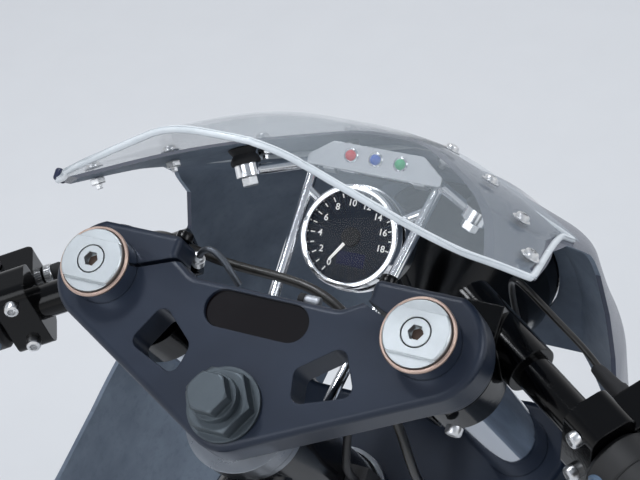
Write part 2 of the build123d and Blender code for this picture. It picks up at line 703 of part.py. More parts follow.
def fairing_stay():
    body = rod(cross_end[-1], cross_end[1], STAY_R)
    for side in sides.values():
        body += Pos(*cross_end[side]) * Sphere(STAY_R)
        body += rod(cross_end[side], mount_eye[side], STAY_R)
        body += rod(cross_end[side], leg_foot[side], STAY_R)
        half_eye = mount_way(side) * EYE_TALL / 2
        body += rod(mount_eye[side] - half_eye, mount_eye[side] + half_eye, EYE_R)
    cup = on_axis(round_bar(HEAD_R + FIT, -HEAD_TOP - HEAD_LONG, -HEAD_TOP + 20))
    body += tach_plane * ring(TACH_CASE_R + 4, TACH_CASE_R + FIT, -RING_DEEP - 4, -RING_DEEP + 4)
    for side in sides.values():
        reach = (cross_end[side] - leg_foot[side]).normalized()
        plane_gap = (cross_end[side] - tach_plane.origin).dot(tach_plane.z_dir) + RING_DEEP
        on_leg = cross_end[side] - reach * (plane_gap / reach.dot(tach_plane.z_dir))
        centre = tach_plane.from_local_coords((0, 0, -RING_DEEP))
        on_ring = centre + (on_leg - centre).normalized() * (TACH_CASE_R + 2)
        body += rod(on_ring, on_leg, 3)
    body -= tach_plane * round_bar(TACH_CASE_R + FIT, -TACH_DEEP, 1)
    return body - cup


parts["fairing_stay"] = fairing_stay()

# Rubber mounts between the stay's eyes and the fairing's underside
def rubber_mount(side):
    way = mount_way(side)
    start = mount_eye[side] + way * EYE_TALL / 2
    return rod(start, start + way * BOBBIN_TALL, BOBBIN_R) - hull_wall(-FAIRING_WALL - SEAT, 30)


for name, side in sides.items():
    parts["rubber_mount_" + name] = rubber_mount(side)

# Warning lamp panel clipped to the stay's cross rod
panel_tilt = radians(PANEL_TILT)
rod_middle = from_caps(0, CROSS_Y, CROSS_Z)
panel_up = Vector(0, sin(panel_tilt), cos(panel_tilt))
panel_out = Vector(0, -cos(panel_tilt), sin(panel_tilt))
panel_plane = Plane(origin=rod_middle + panel_out * (STAY_R + PANEL_OFF_ROD) + panel_up * PANEL_WIDE * 0.35,
                    x_dir=(1, 0, 0), z_dir=panel_out)


def warning_panel():
    half = PANEL_WIDE / 2
    outline = make_face(Polyline(
        (-PANEL_LONG / 2, -half), (PANEL_LONG / 2, -half), (PANEL_LONG / 2, -half + 6),
        (PANEL_TOP / 2, half), (-PANEL_TOP / 2, half), (-PANEL_LONG / 2, -half + 6), close=True))
    plate = extrude(fillet(outline.vertices(), 2.4), amount=PANEL_THICK)
    for place in (-1, 0, 1):
        plate -= round_bar(JEWEL_R + FIT, -1, PANEL_THICK + 1, place * JEWEL_PITCH, 1)
    plate = panel_plane * plate
    for side in sides.values():
        at = rod_middle + Vector(side * PANEL_TOP / 2, 0, 0)
        clip = rod(at - Vector(CLIP_WIDE / 2, 0, 0), at + Vector(CLIP_WIDE / 2, 0, 0), STAY_R + PANEL_OFF_ROD)
        block = Pos(side * PANEL_TOP / 2, -PANEL_WIDE * 0.35, -3) * Box(CLIP_WIDE, 2 * STAY_R, 6)
        plate += clip + panel_plane * block
    return plate - rod(cross_end[-1], cross_end[1], STAY_R + FIT)


def warning_lamp(place):
    lamp = round_bar(JEWEL_R, -4, PANEL_THICK + 1, place * JEWEL_PITCH, 1)
    dome = Pos(place * JEWEL_PITCH, 1, PANEL_THICK + 1) * Sphere(JEWEL_R)
    return panel_plane * (lamp + dome)


parts["warning_panel"] = warning_panel()
for colour, place in {"red": -1, "blue": 0, "green": 1}.items():
    parts["warning_lamp_" + colour] = warning_lamp(place)

# Control cables and wiring loom. Each route is given across, ahead and up from the
# middle of the top yoke's upper face, in line with the steering axis.
CLUTCH_ROUTE = [(-168, 95, -93), (-146, 104, -84), (-124, 105, -69), (-107, 105, -58),
                (-88, 100, -52), (-65, 94, -46.5), (-40, 91.5, -45), (-14, 91, -44.5),
                (10, 88, -44), (31, 79, -45.5), (47, 65, -49), (59, 50, -60), (64, 37, -80),
                (65, 28, -107), (63, 20, -139), (60, 14, -172)]
BRAKE_ROUTE = [(168, 95, -73), (150, 106, -67), (134, 116, -61), (120, 125, -65),
               (111, 129, -79), (107, 127, -98), (105, 122, -122), (104, 115, -155),
               (104, 109, -200), (106, 105, -255), (106.5, 101, -312), (105, 98, -365),
               (102.5, 96, -410)]
LOOM_ROUTE = [(3, 150, -166), (12, 137, -180), (24, 118, -178), (32, 100, -163), (33, 86, -143),
              (31, 74, -122), (31, 61, -104), (34, 45, -90), (38, 31, -83), (39.5, 17, -87),
              (38, 6, -100), (34.5, 0, -116)]


def cord(points, radius):
    """A round cable through the points, each corner rounded as widely as its runs allow."""
    points = [Vector(*point) for point in points]
    radii = []
    for before, corner, after in zip(points, points[1:], points[2:]):
        shorter = min((corner - before).length, (after - corner).length)
        turn = (corner - before).get_angle(after - corner)
        radii.append(0.45 * shorter / tan(radians(turn) / 2))
    path = Wire(rounded(points, radii))
    tube = sweep(Plane(origin=points[0], z_dir=points[1] - points[0]) * Circle(radius), path=path)
    print("cable, length", round(path.length), "tightest bend", round(min(radii), 1),
          "volume share", round(tube.volume / (path.length * pi * radius ** 2), 4))
    return tube


def from_yoke(route):
    return [fork_plane.from_local_coords(point) for point in route]


def perch_exit(side):
    """The straight start of a lever's cable, out of the perch towards the fork leg."""
    return [bar_plane(side).from_local_coords((-CABLE_LOW, -side * PIVOT_AHEAD, along))
            for along in (PERCH_AT, PERCH_AT - CABLE_EXIT)]


clutch_end = (*CABLE_BOSS, -LOWER_TOP + CABLE_BOSS_TALL)
parts["clutch_cable"] = cord([*perch_exit(-1), *from_yoke([*CLUTCH_ROUTE, clutch_end])], CABLE_R[-1])
brake_end = (FORK_SPACING / 2, FORK_OFFSET + BRAKE_STOP_AHEAD, brake_stop_top)
parts["brake_cable"] = cord([*perch_exit(1), *from_yoke([*BRAKE_ROUTE, brake_end])], CABLE_R[1])

loom_start = [tach_plane.from_local_coords((0, 0, -TACH_DEEP - along)) for along in (0, CABLE_EXIT)]
connector_x = HEAD_R + SEAT + CONNECTOR[0] / 2
loom_end = (LOOM_ROUTE[-1][0], LOOM_ROUTE[-1][1], CONNECTOR_TOP)
parts["wiring_loom"] = cord([*loom_start, *from_yoke([*LOOM_ROUTE, loom_end])], LOOM_R)
connector = Pos(connector_x, 0, CONNECTOR_TOP - CONNECTOR[2] / 2) * Box(*CONNECTOR)
parts["loom_connector"] = on_axis(connector)

for name, shape in parts.items():
    shape.label = name
    export_step(shape, "parts/" + name + ".step")
print(len(parts), "nodes")
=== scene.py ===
from math import cos, pi, radians, sin

import bpy
from mathutils import Matrix, Vector


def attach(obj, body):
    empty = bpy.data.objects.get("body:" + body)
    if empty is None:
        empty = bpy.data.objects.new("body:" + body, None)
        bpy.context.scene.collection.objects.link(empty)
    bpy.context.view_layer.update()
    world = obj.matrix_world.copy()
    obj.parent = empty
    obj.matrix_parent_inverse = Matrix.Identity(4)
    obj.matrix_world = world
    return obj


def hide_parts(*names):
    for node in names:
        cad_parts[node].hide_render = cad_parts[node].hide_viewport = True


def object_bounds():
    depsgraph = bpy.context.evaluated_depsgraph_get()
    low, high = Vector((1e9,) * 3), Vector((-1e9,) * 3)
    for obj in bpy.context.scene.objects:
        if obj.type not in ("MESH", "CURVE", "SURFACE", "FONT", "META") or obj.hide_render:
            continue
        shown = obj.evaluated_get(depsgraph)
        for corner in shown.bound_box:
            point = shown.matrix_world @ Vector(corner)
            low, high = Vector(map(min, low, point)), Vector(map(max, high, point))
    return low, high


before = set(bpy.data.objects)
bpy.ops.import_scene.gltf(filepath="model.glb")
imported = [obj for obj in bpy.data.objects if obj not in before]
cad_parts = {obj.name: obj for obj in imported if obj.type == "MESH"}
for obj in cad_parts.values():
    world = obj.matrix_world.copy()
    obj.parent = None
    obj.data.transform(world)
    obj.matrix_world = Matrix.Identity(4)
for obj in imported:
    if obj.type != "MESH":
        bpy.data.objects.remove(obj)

bpy.ops.object.select_all(action="DESELECT")
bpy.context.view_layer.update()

# The camera looks down into the cockpit from behind and from the right. Its lens is long,
# so that what is farther off looks hardly smaller.
CAMERA_AT = Vector((0.4435, -0.4926, 0.7992))
CAMERA_LOOK = Vector((-0.4114, 0.6281, -0.6605)).normalized()
CAMERA_UP = Vector((-0.1869, 0.6512, 0.7356))
LENS_MM = 101.98
SENSOR_MM = 36.0
across = CAMERA_LOOK.cross(CAMERA_UP).normalized()
upright = across.cross(CAMERA_LOOK).normalized()
lens_turn = Matrix((across, upright, -CAMERA_LOOK)).transposed()
bpy.ops.object.camera_add(location=CAMERA_AT, rotation=lens_turn.to_euler())
camera = bpy.context.active_object
camera.name = "camera"
camera.data.lens = LENS_MM
camera.data.sensor_width = SENSOR_MM
bpy.context.scene.camera = camera

# Control cables and the wiring loom: black PVC sheaths on steel cable, and a taped bundle
# of wires, held at both ends, with the slack the steering needs.
RAKE = radians(27.0)
AHEAD = Vector((0, cos(RAKE), sin(RAKE)))
AXIS = Vector((0, -sin(RAKE), cos(RAKE)))
YOKE = Vector((0, 0.095, 0)) + AXIS * 0.085
CAPS = Vector((0, 0.1008, 0.1208))
FORK_HALF = 0.1025
FORK_OFFSET = 0.060
BAR_AHEAD = 0.041
BAR_DROP = {-1: 0.081, 1: 0.060}
BAR_SWEEP = radians(32)
BAR_FALL = radians(10)
LEVER_BACK = 0.034
EXIT_BELOW = 0.008
EXIT_RUN = (0.098, 0.080)
SIDES = {"left": -1, "right": 1}


def placed(origin, x, y, z):
    """The matrix that puts a piece modelled about the origin into a place of its own."""
    turn = Matrix((Vector(x), Vector(y), Vector(z))).transposed().to_4x4()
    return Matrix.Translation(origin) @ turn


steering = placed(YOKE, (1, 0, 0), AHEAD, AXIS)


def bar_frame(side):
    """Z outwards along the handlebar, X upwards, from the bar's axis beside the fork leg."""
    origin = YOKE + Vector((side * FORK_HALF, 0, 0)) + AHEAD * (FORK_OFFSET + BAR_AHEAD)
    origin -= AXIS * BAR_DROP[side]
    level = cos(BAR_FALL)
    way = Vector((side * level * cos(BAR_SWEEP), -level * sin(BAR_SWEEP), -sin(BAR_FALL)))
    rise = (Vector((0, 0, 1)) - way * way.z).normalized()
    return placed(origin, rise, way.cross(rise), way)


bars = {side: bar_frame(side) for side in SIDES.values()}
TACH_AT = CAPS + Vector((0, 0.1154, -0.0585))
TACH_TILT = radians(47)
DIAL_UP = Vector((0, sin(TACH_TILT), cos(TACH_TILT)))
DIAL_OUT = Vector((0, -cos(TACH_TILT), sin(TACH_TILT)))
tach = placed(TACH_AT, (1, 0, 0), DIAL_UP, DIAL_OUT)


def cable_line(name, points, diameter):
    """A round cable whose smooth line has the points as its control points.

    The points carry the cable's radius, so that the curve's own box is the cable's."""
    line = bpy.data.curves.new(name, "CURVE")
    line.dimensions = "3D"
    spline = line.splines.new("NURBS")
    spline.points.add(len(points) - 1)
    for place, point in zip(spline.points, points):
        place.co = (*point, 1)
        place.radius = diameter / 2
    spline.order_u = 3
    spline.use_endpoint_u = True
    spline.resolution_u = 8
    line.bevel_depth = 1.0
    line.bevel_resolution = 5
    line.use_fill_caps = True
    piece = bpy.data.objects.new(name, line)
    bpy.context.collection.objects.link(piece)
    return piece


def perch_exit(side):
    """The straight start of a lever's cable, out of its perch."""
    return [bars[side] @ Vector((-EXIT_BELOW, -side * LEVER_BACK, along)) for along in EXIT_RUN]


def from_yoke(route):
    return [steering @ Vector(point) for point in route]


CLUTCH_ROUTE = [(-0.168, 0.095, -0.093), (-0.146, 0.104, -0.084), (-0.124, 0.105, -0.069),
                (-0.107, 0.105, -0.058), (-0.088, 0.100, -0.052), (-0.065, 0.094, -0.0465),
                (-0.040, 0.0915, -0.045), (-0.014, 0.091, -0.0445), (0.010, 0.088, -0.044),
                (0.031, 0.079, -0.0455), (0.047, 0.065, -0.049), (0.059, 0.050, -0.060),
                (0.064, 0.037, -0.080), (0.065, 0.028, -0.107), (0.063, 0.020, -0.139),
                (0.060, 0.014, -0.172), (0.060, 0.014, -0.206)]
BRAKE_ROUTE = [(0.168, 0.095, -0.073), (0.150, 0.106, -0.067), (0.134, 0.116, -0.061),
               (0.120, 0.125, -0.065), (0.111, 0.129, -0.079), (0.107, 0.127, -0.098),
               (0.105, 0.122, -0.122), (0.104, 0.115, -0.155), (0.104, 0.109, -0.200),
               (0.106, 0.105, -0.255), (0.1065, 0.101, -0.312), (0.105, 0.098, -0.365),
               (0.1025, 0.096, -0.410), (0.1025, 0.096, -0.452)]
LOOM_START = [(0, 0, -0.048), (0, 0, -0.066)]
LOOM_ROUTE = [(0.003, 0.150, -0.166), (0.012, 0.137, -0.180), (0.024, 0.118, -0.178),
              (0.032, 0.100, -0.163), (0.033, 0.086, -0.143), (0.031, 0.074, -0.122),
              (0.031, 0.061, -0.104), (0.034, 0.045, -0.090), (0.038, 0.031, -0.083),
              (0.0395, 0.017, -0.087), (0.038, 0.006, -0.100), (0.0345, 0.0, -0.116),
              (0.0345, 0.0, -0.134)]
clutch_points = perch_exit(-1) + from_yoke(CLUTCH_ROUTE)
clutch_cable = cable_line("clutch_cable_sheath", clutch_points, 0.006)
brake_points = perch_exit(1) + from_yoke(BRAKE_ROUTE)
brake_cable = cable_line("brake_cable_sheath", brake_points, 0.004)
loom_points = [tach @ Vector(point) for point in LOOM_START] + from_yoke(LOOM_ROUTE)
wiring_loom = cable_line("wiring_loom_sleeve", loom_points, 0.005)
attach(clutch_cable, "fork")
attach(brake_cable, "fork")
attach(wiring_loom, "frame_head")
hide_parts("clutch_cable")
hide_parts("brake_cable")
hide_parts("wiring_loom")


class Value:
    """One output in a finish's nodes. Arithmetic on it adds Math nodes."""

    def __init__(self, finish, socket):
        self.finish = finish
        self.socket = socket

    def _math(self, operation, *values):
        return self.finish.node("ShaderNodeMath", {"operation": operation}, *values)

    def __add__(self, other):
        return self._math("ADD", self, other)

    __radd__ = __add__

    def __sub__(self, other):
        return self._math("SUBTRACT", self, other)

    def __rsub__(self, other):
        return self._math("SUBTRACT", other, self)

    def __mul__(self, other):
        return self._math("MULTIPLY", self, other)

    __rmul__ = __mul__

    def __truediv__(self, other):
        return self._math("DIVIDE", self, other)

    def __rtruediv__(self, other):
        return self._math("DIVIDE", other, self)

    def above(self, edge, soft):
        """0 below the edge and 1 above it, with a soft step."""
        stepped = (self - (edge - soft / 2)) / soft
        return self.finish.node("ShaderNodeClamp", {}, stepped)

    def sine(self):
        return self._math("SINE", self)

    def size(self):
        return self._math("ABSOLUTE", self)

    def power(self, share):
        return self._math("POWER", self, share)


class Finish:
    """A material, or the world's surface, made of nodes."""

    def __init__(self, name, world=None):
        self.material = world or bpy.data.materials.new(name)
        self.material.use_nodes = True
        self.tree = self.material.node_tree
        self.tree.nodes.clear()
        kind = "ShaderNodeOutputWorld" if world else "ShaderNodeOutputMaterial"
        self.end = self.tree.nodes.new(kind)
        self.place = self.node("ShaderNodeTexCoord", {}, output="Object")
        self.facing = self.node("ShaderNodeTexCoord", {}, output="Normal")

    def node(self, kind, settings, *inputs, output=0, **named):
        """Adds a node: its settings, then its sockets by order or by name."""
        made = self.tree.nodes.new(kind)
        stops = settings.pop("stops", None)
        for setting, choice in settings.items():
            setattr(made, setting, choice)
        if stops:
            while len(made.color_ramp.elements) < len(stops):
                made.color_ramp.elements.new(0.5)
            for element, (at, colour) in zip(made.color_ramp.elements, stops):
                element.position = at
                element.color = (*colour, 1)
        for index, value in enumerate(inputs):
            self._join(value, made.inputs[index])
        for socket, value in named.items():
            self._join(value, made.inputs[socket.replace("_", " ")])
        return Value(self, made.outputs[output])

    def _join(self, value, socket):
        if isinstance(value, Value):
            self.tree.links.new(value.socket, socket)
        elif value is not None:
            socket.default_value = value

    def noise(self, scale, detail, rough=0.5):
        return self.node("ShaderNodeTexNoise", {}, Vector=self.place, Scale=scale, Detail=detail,
                         Roughness=rough)

    def along(self, way, at=None):
        """How far a point lies along a direction."""
        return self.node("ShaderNodeVectorMath", {"operation": "DOT_PRODUCT"}, at or self.place,
                         way if isinstance(way, Value) else tuple(way), output="Value")

    def from_point(self, point):
        """The place, measured from a point."""
        return self.node("ShaderNodeVectorMath", {"operation": "SUBTRACT"}, self.place, tuple(point))

    def gloss(self, blend):
        """How much the surface mirrors, most where it is seen edge on."""
        return self.node("ShaderNodeLayerWeight", {}, Blend=blend, output="Fresnel")

    def blend(self, share, first, second):
        """From the first colour to the second."""
        first = first if isinstance(first, Value) else (*first, 1)
        second = second if isinstance(second, Value) else (*second, 1)
        unused = [None] * 5
        return self.node("ShaderNodeMix", {"data_type": "RGBA"}, share, *unused, first, second,
                         output=2)

    def bump(self, height, depth, strength, under=None):
        return self.node("ShaderNodeBump", {}, Height=height, Distance=depth, Strength=strength,
                         Normal=under)

    def rounded_edges(self, radius):
        """Light catches every edge as if it were broken by this radius."""
        return self.node("ShaderNodeBevel", {"samples": 3}, Radius=radius)

    def shader(self, **sockets):
        return self.node("ShaderNodeBsdfPrincipled", {}, **sockets)

    def finish(self, shader):
        self.tree.links.new(shader.socket, self.end.inputs["Surface"])
        return self.material


def tint(red, green, blue):
    """A colour as the eye reads it, 0 to 255, in the renderer's linear values."""
    return tuple((part / 255) ** 2.2 for part in (red, green, blue))


def shade(colour, share, lift=0.0):
    """A colour made darker or lighter by a share, and lifted a little towards grey."""
    return tuple(min(1.0, part * share + lift) for part in colour)


def sheath(name, colour, rough):
    """Extruded plastic with a faint grain and handling marks."""
    finish = Finish(name)
    grime = finish.noise(90, 5, 0.6)
    grain = finish.noise(900, 2)
    base = finish.blend(grime.above(0.55, 0.3), colour, shade(colour, 1.9, 0.004))
    shader = finish.shader(Base_Color=base, Roughness=rough + 0.25 * grime,
                           Specular_IOR_Level=0.55, Normal=finish.bump(grain, 0.0002, 0.4))
    return finish.finish(shader)


cable_black = sheath("cable_sheath", tint(26, 24, 21), 0.2)
loom_black = sheath("loom_sleeve", tint(28, 28, 30), 0.38)
for piece in (clutch_cable, brake_cable):
    piece.data.materials.append(cable_black)
wiring_loom.data.materials.append(loom_black)

# Frame headstock: a steel tube with the stubs of the backbone and of two down tubes welded
# to it, all sprayed gloss black. The open ends have turned lips and collars.
HEAD_TOP = 0.046
HEAD_LONG = 0.155
LIP_TALL = 0.004
DOWN_TUBES_BELOW = 0.158
DOWN_TUBE_COLLAR = [(0.150, 0.01385), (0.1505, 0.0152), (0.163, 0.0152), (0.1645, 0.0146),
                    (0.1645, 0.0122)]
BACKBONE_COLLAR = [(0.0006, 0.0178), (0.0006, 0.0206), (0.0016, 0.0214), (0.013, 0.0214),
                   (0.0145, 0.0199)]


def coat(node, material):
    """Gives a solid of the frame its finish."""
    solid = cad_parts[node]
    solid.data.materials.clear()
    solid.data.materials.append(material)


def gloss_paint(name, colour, rough=0.14, dust=0.35, lacquer=0.12, shine=0.4):
    """Sprayed lacquer: faint orange peel, patches of dust, and edges rounded so that light catches them."""
    finish = Finish(name)
    peel = finish.noise(420, 2)
    cloud = finish.noise(26, 5, 0.6)
    base = finish.blend(cloud.above(0.6, 0.35) * dust, colour, shade(colour, 1.4, 0.006))
    shader = finish.shader(Base_Color=base, Roughness=rough + 0.18 * cloud.above(0.5, 0.5) * dust,
                           Coat_Weight=lacquer, Coat_Roughness=0.06, Specular_IOR_Level=shine,
                           Normal=finish.bump(peel, 0.0002, 0.12, finish.rounded_edges(0.0012)))
    return finish.finish(shader)


def only(piece):
    """Selects one piece and makes it active."""
    bpy.ops.object.select_all(action="DESELECT")
    bpy.context.view_layer.objects.active = piece
    piece.select_set(True)


def leave():
    bpy.ops.object.mode_set(mode="OBJECT")


def turned(name, stations, sides=40, ends="NGON"):
    """A piece turned about Z: its outline is (height, radius) from end to end, in metres."""
    bpy.ops.object.select_all(action="DESELECT")
    bpy.ops.mesh.primitive_circle_add(vertices=sides, radius=stations[0][1], fill_type=ends)
    piece = bpy.context.active_object
    piece.name = name
    bpy.ops.object.mode_set(mode="EDIT")
    bpy.ops.mesh.select_mode(type="VERT")
    bpy.ops.mesh.select_all(action="SELECT")
    for (low, near), (high, far) in zip(stations, stations[1:]):
        bpy.ops.mesh.extrude_region_move(TRANSFORM_OT_translate={"value": (0, 0, high - low)})
        bpy.ops.transform.resize(value=(far / near, far / near, 1))
    bpy.ops.mesh.select_all(action="SELECT")
    bpy.ops.mesh.remove_doubles(threshold=0.000005)
    bpy.ops.mesh.normals_make_consistent(inside=False)
    leave()
    piece.data.transform(Matrix.Translation((0, 0, stations[0][0])))
    return piece


def ring(name, section, sides=40):
    """A ring turned about Z, whose section has these corners, as (height, radius)."""
    return turned(name, section + section[:1], sides, "NOTHING")


def seat(piece, place, body, material, smooth=32):
    """Moves the finished mesh into its place and ties it to its body."""
    piece.data.transform(place)
    piece.data.materials.clear()
    piece.data.materials.append(material)
    only(piece)
    bpy.ops.object.shade_smooth_by_angle(angle=radians(smooth))
    bpy.ops.object.select_all(action="DESELECT")
    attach(piece, body)
    return piece


def aimed(origin, way):
    """The place of a piece that stands at the origin with its Z along the way."""
    turn = Vector(way).normalized().to_track_quat("Z", "Y")
    return Matrix.Translation(origin) @ turn.to_matrix().to_4x4()


frame_black = gloss_paint("frame_paint", tint(22, 23, 26))
coat("headstock", frame_black)
coat("loom_connector", sheath("connector_plastic", tint(34, 34, 36), 0.42))
for name, low in (("upper", -HEAD_TOP - LIP_TALL), ("lower", -HEAD_TOP - HEAD_LONG)):
    top = low + LIP_TALL
    lip = ring("head_tube_lip_" + name, [(low, 0.0266), (low, 0.0282), (top, 0.0282), (top, 0.0266)], 56)
    seat(lip, steering, "frame_head", frame_black)
for name, side in SIDES.items():
    tube = aimed(YOKE - AXIS * DOWN_TUBES_BELOW, (side * 0.34, -0.55, -0.78))
    collar = ring("down_tube_collar_" + name, DOWN_TUBE_COLLAR)
    seat(collar, tube, "frame_head", frame_black)
rearwards = Matrix.Rotation(radians(-90), 4, "X")
seat(ring("backbone_collar", BACKBONE_COLLAR, 48), rearwards, "frame_head", frame_black)

# Bearing cups, pressed into the headstock, and the dust cover under the top yoke: bearing
# steel, hardened and ground.


def machined(name, colour, rough, lines, way, edge=0.0006, marks=0.10):
    """Turned or ground metal: fine tool lines across the axis, faint stains."""
    finish = Finish(name)
    tool = (finish.along(way) * (lines * 2 * pi)).sine()
    stain = finish.noise(60, 5, 0.6)
    smear = finish.noise(700, 3)
    base = finish.blend(stain.above(0.55, 0.4) * 0.5, colour, shade(colour, 0.72))
    shader = finish.shader(Base_Color=base, Metallic=1.0,
                           Roughness=rough + 0.16 * stain.above(0.5, 0.6) + 0.05 * smear,
                           Normal=finish.bump(tool, 0.00008, marks, finish.rounded_edges(edge)))
    return finish.finish(shader)


cover_steel = machined("cover_steel", tint(150, 154, 160), 0.2, 500, AXIS)
for node in ("bearing_cups", "dust_cover"):
    coat(node, cover_steel)

# Half fairing: a moulded shell, sprayed gloss silver grey outside and left in matt slate
# primer inside, with a rolled edge round the hand notches.
FAIRING_MIDDLE = Vector((0, 0.26, -0.02))


def fairing_finish(name):
    """Paint where the shell faces away from its middle, and primer on the rest, with big soft patches of
    painted light and shade on the primer.
    """
    finish = Finish(name)
    outwards = finish.along(finish.from_point(FAIRING_MIDDLE), finish.facing)
    outside = outwards.above(0.0, 0.01)
    cloud = finish.noise(7, 5, 0.55)
    fibres = finish.noise(160, 6, 0.7)
    peel = finish.noise(500, 2)
    # The primer's big soft light and dark patches are painted light and shade.
    inner = finish.blend(cloud.above(0.5, 0.3), tint(92, 103, 118), tint(150, 163, 178))
    inner = finish.blend(fibres.above(0.62, 0.25) * 0.3, inner, tint(84, 94, 108))
    outer = finish.blend(cloud.above(0.55, 0.6) * 0.5, tint(80, 84, 97), tint(64, 68, 80))
    shader = finish.shader(Base_Color=finish.blend(outside, inner, outer),
                           Roughness=0.52 - 0.34 * outside + 0.10 * fibres,
                           Specular_IOR_Level=0.2,
                           Normal=finish.bump(fibres * (1 - outside) + 0.15 * peel, 0.0004, 0.25))
    return finish.finish(shader)


coat("fairing", fairing_finish("fairing_paint"))

# Windscreen: one blown sheet of clear acrylic, with a polished edge that looks white, held
# by steel screws through its lower edge. Moulded blocks cover its two rear corners.
EDGE_BEAD = 0.0042
SCREWS_AHEAD = [0.170, 0.216, 0.262, 0.300]
SCREWS_BELOW = 0.008
SEAM_ABOVE = 0.023
SEAM_AHEAD = 0.039
SEAM_FALL = 0.405
WASHER_THICK = 0.0006
WASHER = [(0.0, 0.0030), (0.0, 0.0058), (WASHER_THICK, 0.0059), (0.0009, 0.0055), (0.0009, 0.0030)]
SCREEN_NUT = [(-0.0132, 0.0016), (-0.0130, 0.0021), (-0.0103, 0.0021), (-0.0102, 0.0046),
              (-0.0098, 0.0050), (-0.0068, 0.0050), (-0.0064, 0.0046)]
CORNER_SIZE = (0.0054, 0.0080, 0.0095)
CORNER_ROUND = 0.0021
CORNER_LEAN = radians(32)


def screen_finish(name):
    """Clear sheet, mirroring where it is seen edge on, and white at its polished edge."""
    finish = Finish(name)
    rearwards = finish.along((0, -1, 0), finish.facing)
    sideways = finish.along((1, 0, 0), finish.facing).size()
    edge = rearwards.above(0.72, 0.06) * (1 - sideways.above(0.16, 0.08))
    smear = finish.noise(30, 4)
    clear = finish.shader(Base_Color=(*tint(176, 188, 196), 1), Roughness=0.03 + 0.05 * smear,
                          Alpha=0.03 + 0.30 * finish.gloss(0.35).power(1.6), Specular_IOR_Level=0.6)
    white = finish.shader(Base_Color=(*tint(214, 221, 224), 1), Roughness=0.25, Alpha=0.88)
    return finish.finish(finish.node("ShaderNodeMixShader", {}, edge, clear, white))


def edge_finish(name):
    """Polished acrylic seen through its edge: milky white."""
    finish = Finish(name)
    cloudy = finish.noise(120, 3)
    base = finish.blend(cloudy, tint(206, 214, 219), tint(228, 233, 236))
    shader = finish.shader(Base_Color=base, Roughness=0.2 + 0.1 * cloudy, Coat_Weight=0.4)
    return finish.finish(shader)


def as_mesh(line):
    """A round line made a mesh."""
    only(line)
    bpy.ops.object.convert(target="MESH")
    return bpy.context.active_object


coat("windscreen", screen_finish("screen_clear"))
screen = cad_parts["windscreen"]
rim_faces = [face for face in screen.data.polygons
             if abs(face.normal.x) < 0.05 and face.normal.y < -0.75]
rim_faces.sort(key=lambda face: (face.center - Vector((0, 0, 0.10))).xz.angle_signed(Vector((1, 0))))
middles = [face.center.copy() for face in rim_faces]
edge_points = [(near + far) / 2 + Vector((0, 0.0002, -0.0008))
               for near, far in zip(middles, middles[1:])]
bead = cable_line("screen_edge_bead", edge_points, EDGE_BEAD)
bead.data.resolution_u = 2
seat(as_mesh(bead), Matrix.Identity(4), "frame_head", edge_finish("screen_edge"), 60)


def pick(piece, kind, test):
    """Selects the faces or edges that pass the test, and enters edit mode."""
    only(piece)
    bpy.ops.object.mode_set(mode="EDIT")
    bpy.ops.mesh.select_mode(type=kind)
    bpy.ops.mesh.select_all(action="DESELECT")
    leave()
    for part in piece.data.polygons if kind == "FACE" else piece.data.edges:
        part.select = bool(test(part))
    bpy.ops.object.mode_set(mode="EDIT")


def hexagon_ring(piece, height, flats):
    """Moves the ring of points at a height onto a hexagon of that size across its flats."""
    for vertex in piece.data.vertices:
        if abs(vertex.co.z - height) < 1e-6 and vertex.co.xy.length < flats * 0.75:
            angle = vertex.co.xy.angle_signed(Vector((1, 0)), 0)
            reach = flats / 2 / cos((angle % (pi / 3)) - pi / 6)
            vertex.co.xy = vertex.co.xy.normalized() * reach


def cap_screw(name, radius, tall, dome=0.35):
    """A domed screw with a hexagon socket, its seat at zero."""
    flats = radius * 1.02
    crown = tall * (1 - dome)
    shoulder = crown + tall * dome * 0.6
    piece = turned(name, [(0, radius * 0.94), (0, radius), (crown, radius), (shoulder, radius * 0.9),
                          (tall, radius * 0.68), (tall, flats / 2)], 48)
    hexagon_ring(piece, tall, flats)

    def on_crown(face):
        return face.normal.z > 0.99 and face.center.xy.length < 1e-4 and face.center.z > tall * 0.9

    pick(piece, "FACE", on_crown)
    bpy.ops.mesh.extrude_region_move(TRANSFORM_OT_translate={"value": (0, 0, -tall * 0.6)})
    leave()
    return piece


bright_steel = machined("screw_steel", tint(222, 223, 224), 0.20, 700, (0, 0, 1), 0.0004)
for name, side in SIDES.items():
    for index, ahead in enumerate(SCREWS_AHEAD):
        seam = CAPS.z + SEAM_ABOVE - SEAM_FALL * (ahead - CAPS.y - SEAM_AHEAD)
        start = Vector((side * 0.4, ahead, seam - SCREWS_BELOW))
        hit, spot, outwards, face = screen.ray_cast(start, Vector((-side, 0, 0)))
        hole = aimed(spot, outwards)
        on_washer = hole @ Matrix.Translation((0, 0, WASHER_THICK))
        label = name + "_" + str(index + 1)
        head = cap_screw("screen_screw_" + label, 0.0043, 0.0034, 0.55)
        washer = ring("screen_washer_" + label, WASHER)
        nut = turned("screen_nut_" + label, SCREEN_NUT, 6)
        seat(head, on_washer, "frame_head", bright_steel)
        seat(washer, hole, "frame_head", bright_steel)
        seat(nut, hole, "frame_head", bright_steel, 20)


def ink(name, colour, rough=0.5, painted_glow=0.0):
    """Printed ink or paint with a slightly uneven edge of gloss, and a painted glow where one is given."""
    finish = Finish(name)
    speck = finish.noise(800, 3)
    base = finish.blend(speck.above(0.6, 0.3) * 0.4, colour, shade(colour, 0.8))
    shader = finish.shader(Base_Color=base, Roughness=rough + 0.1 * speck,
                           # Emission here is a painted glow, not a lamp.
                           Emission_Color=(*colour, 1), Emission_Strength=painted_glow)
    return finish.finish(shader)


def block(name, size):
    """A block about the origin, to be shaped further."""
    bpy.ops.object.select_all(action="DESELECT")
    bpy.ops.mesh.primitive_cube_add(size=1)
    piece = bpy.context.active_object
    piece.name = name
    piece.data.transform(Matrix.Diagonal((*size, 1)))
    return piece


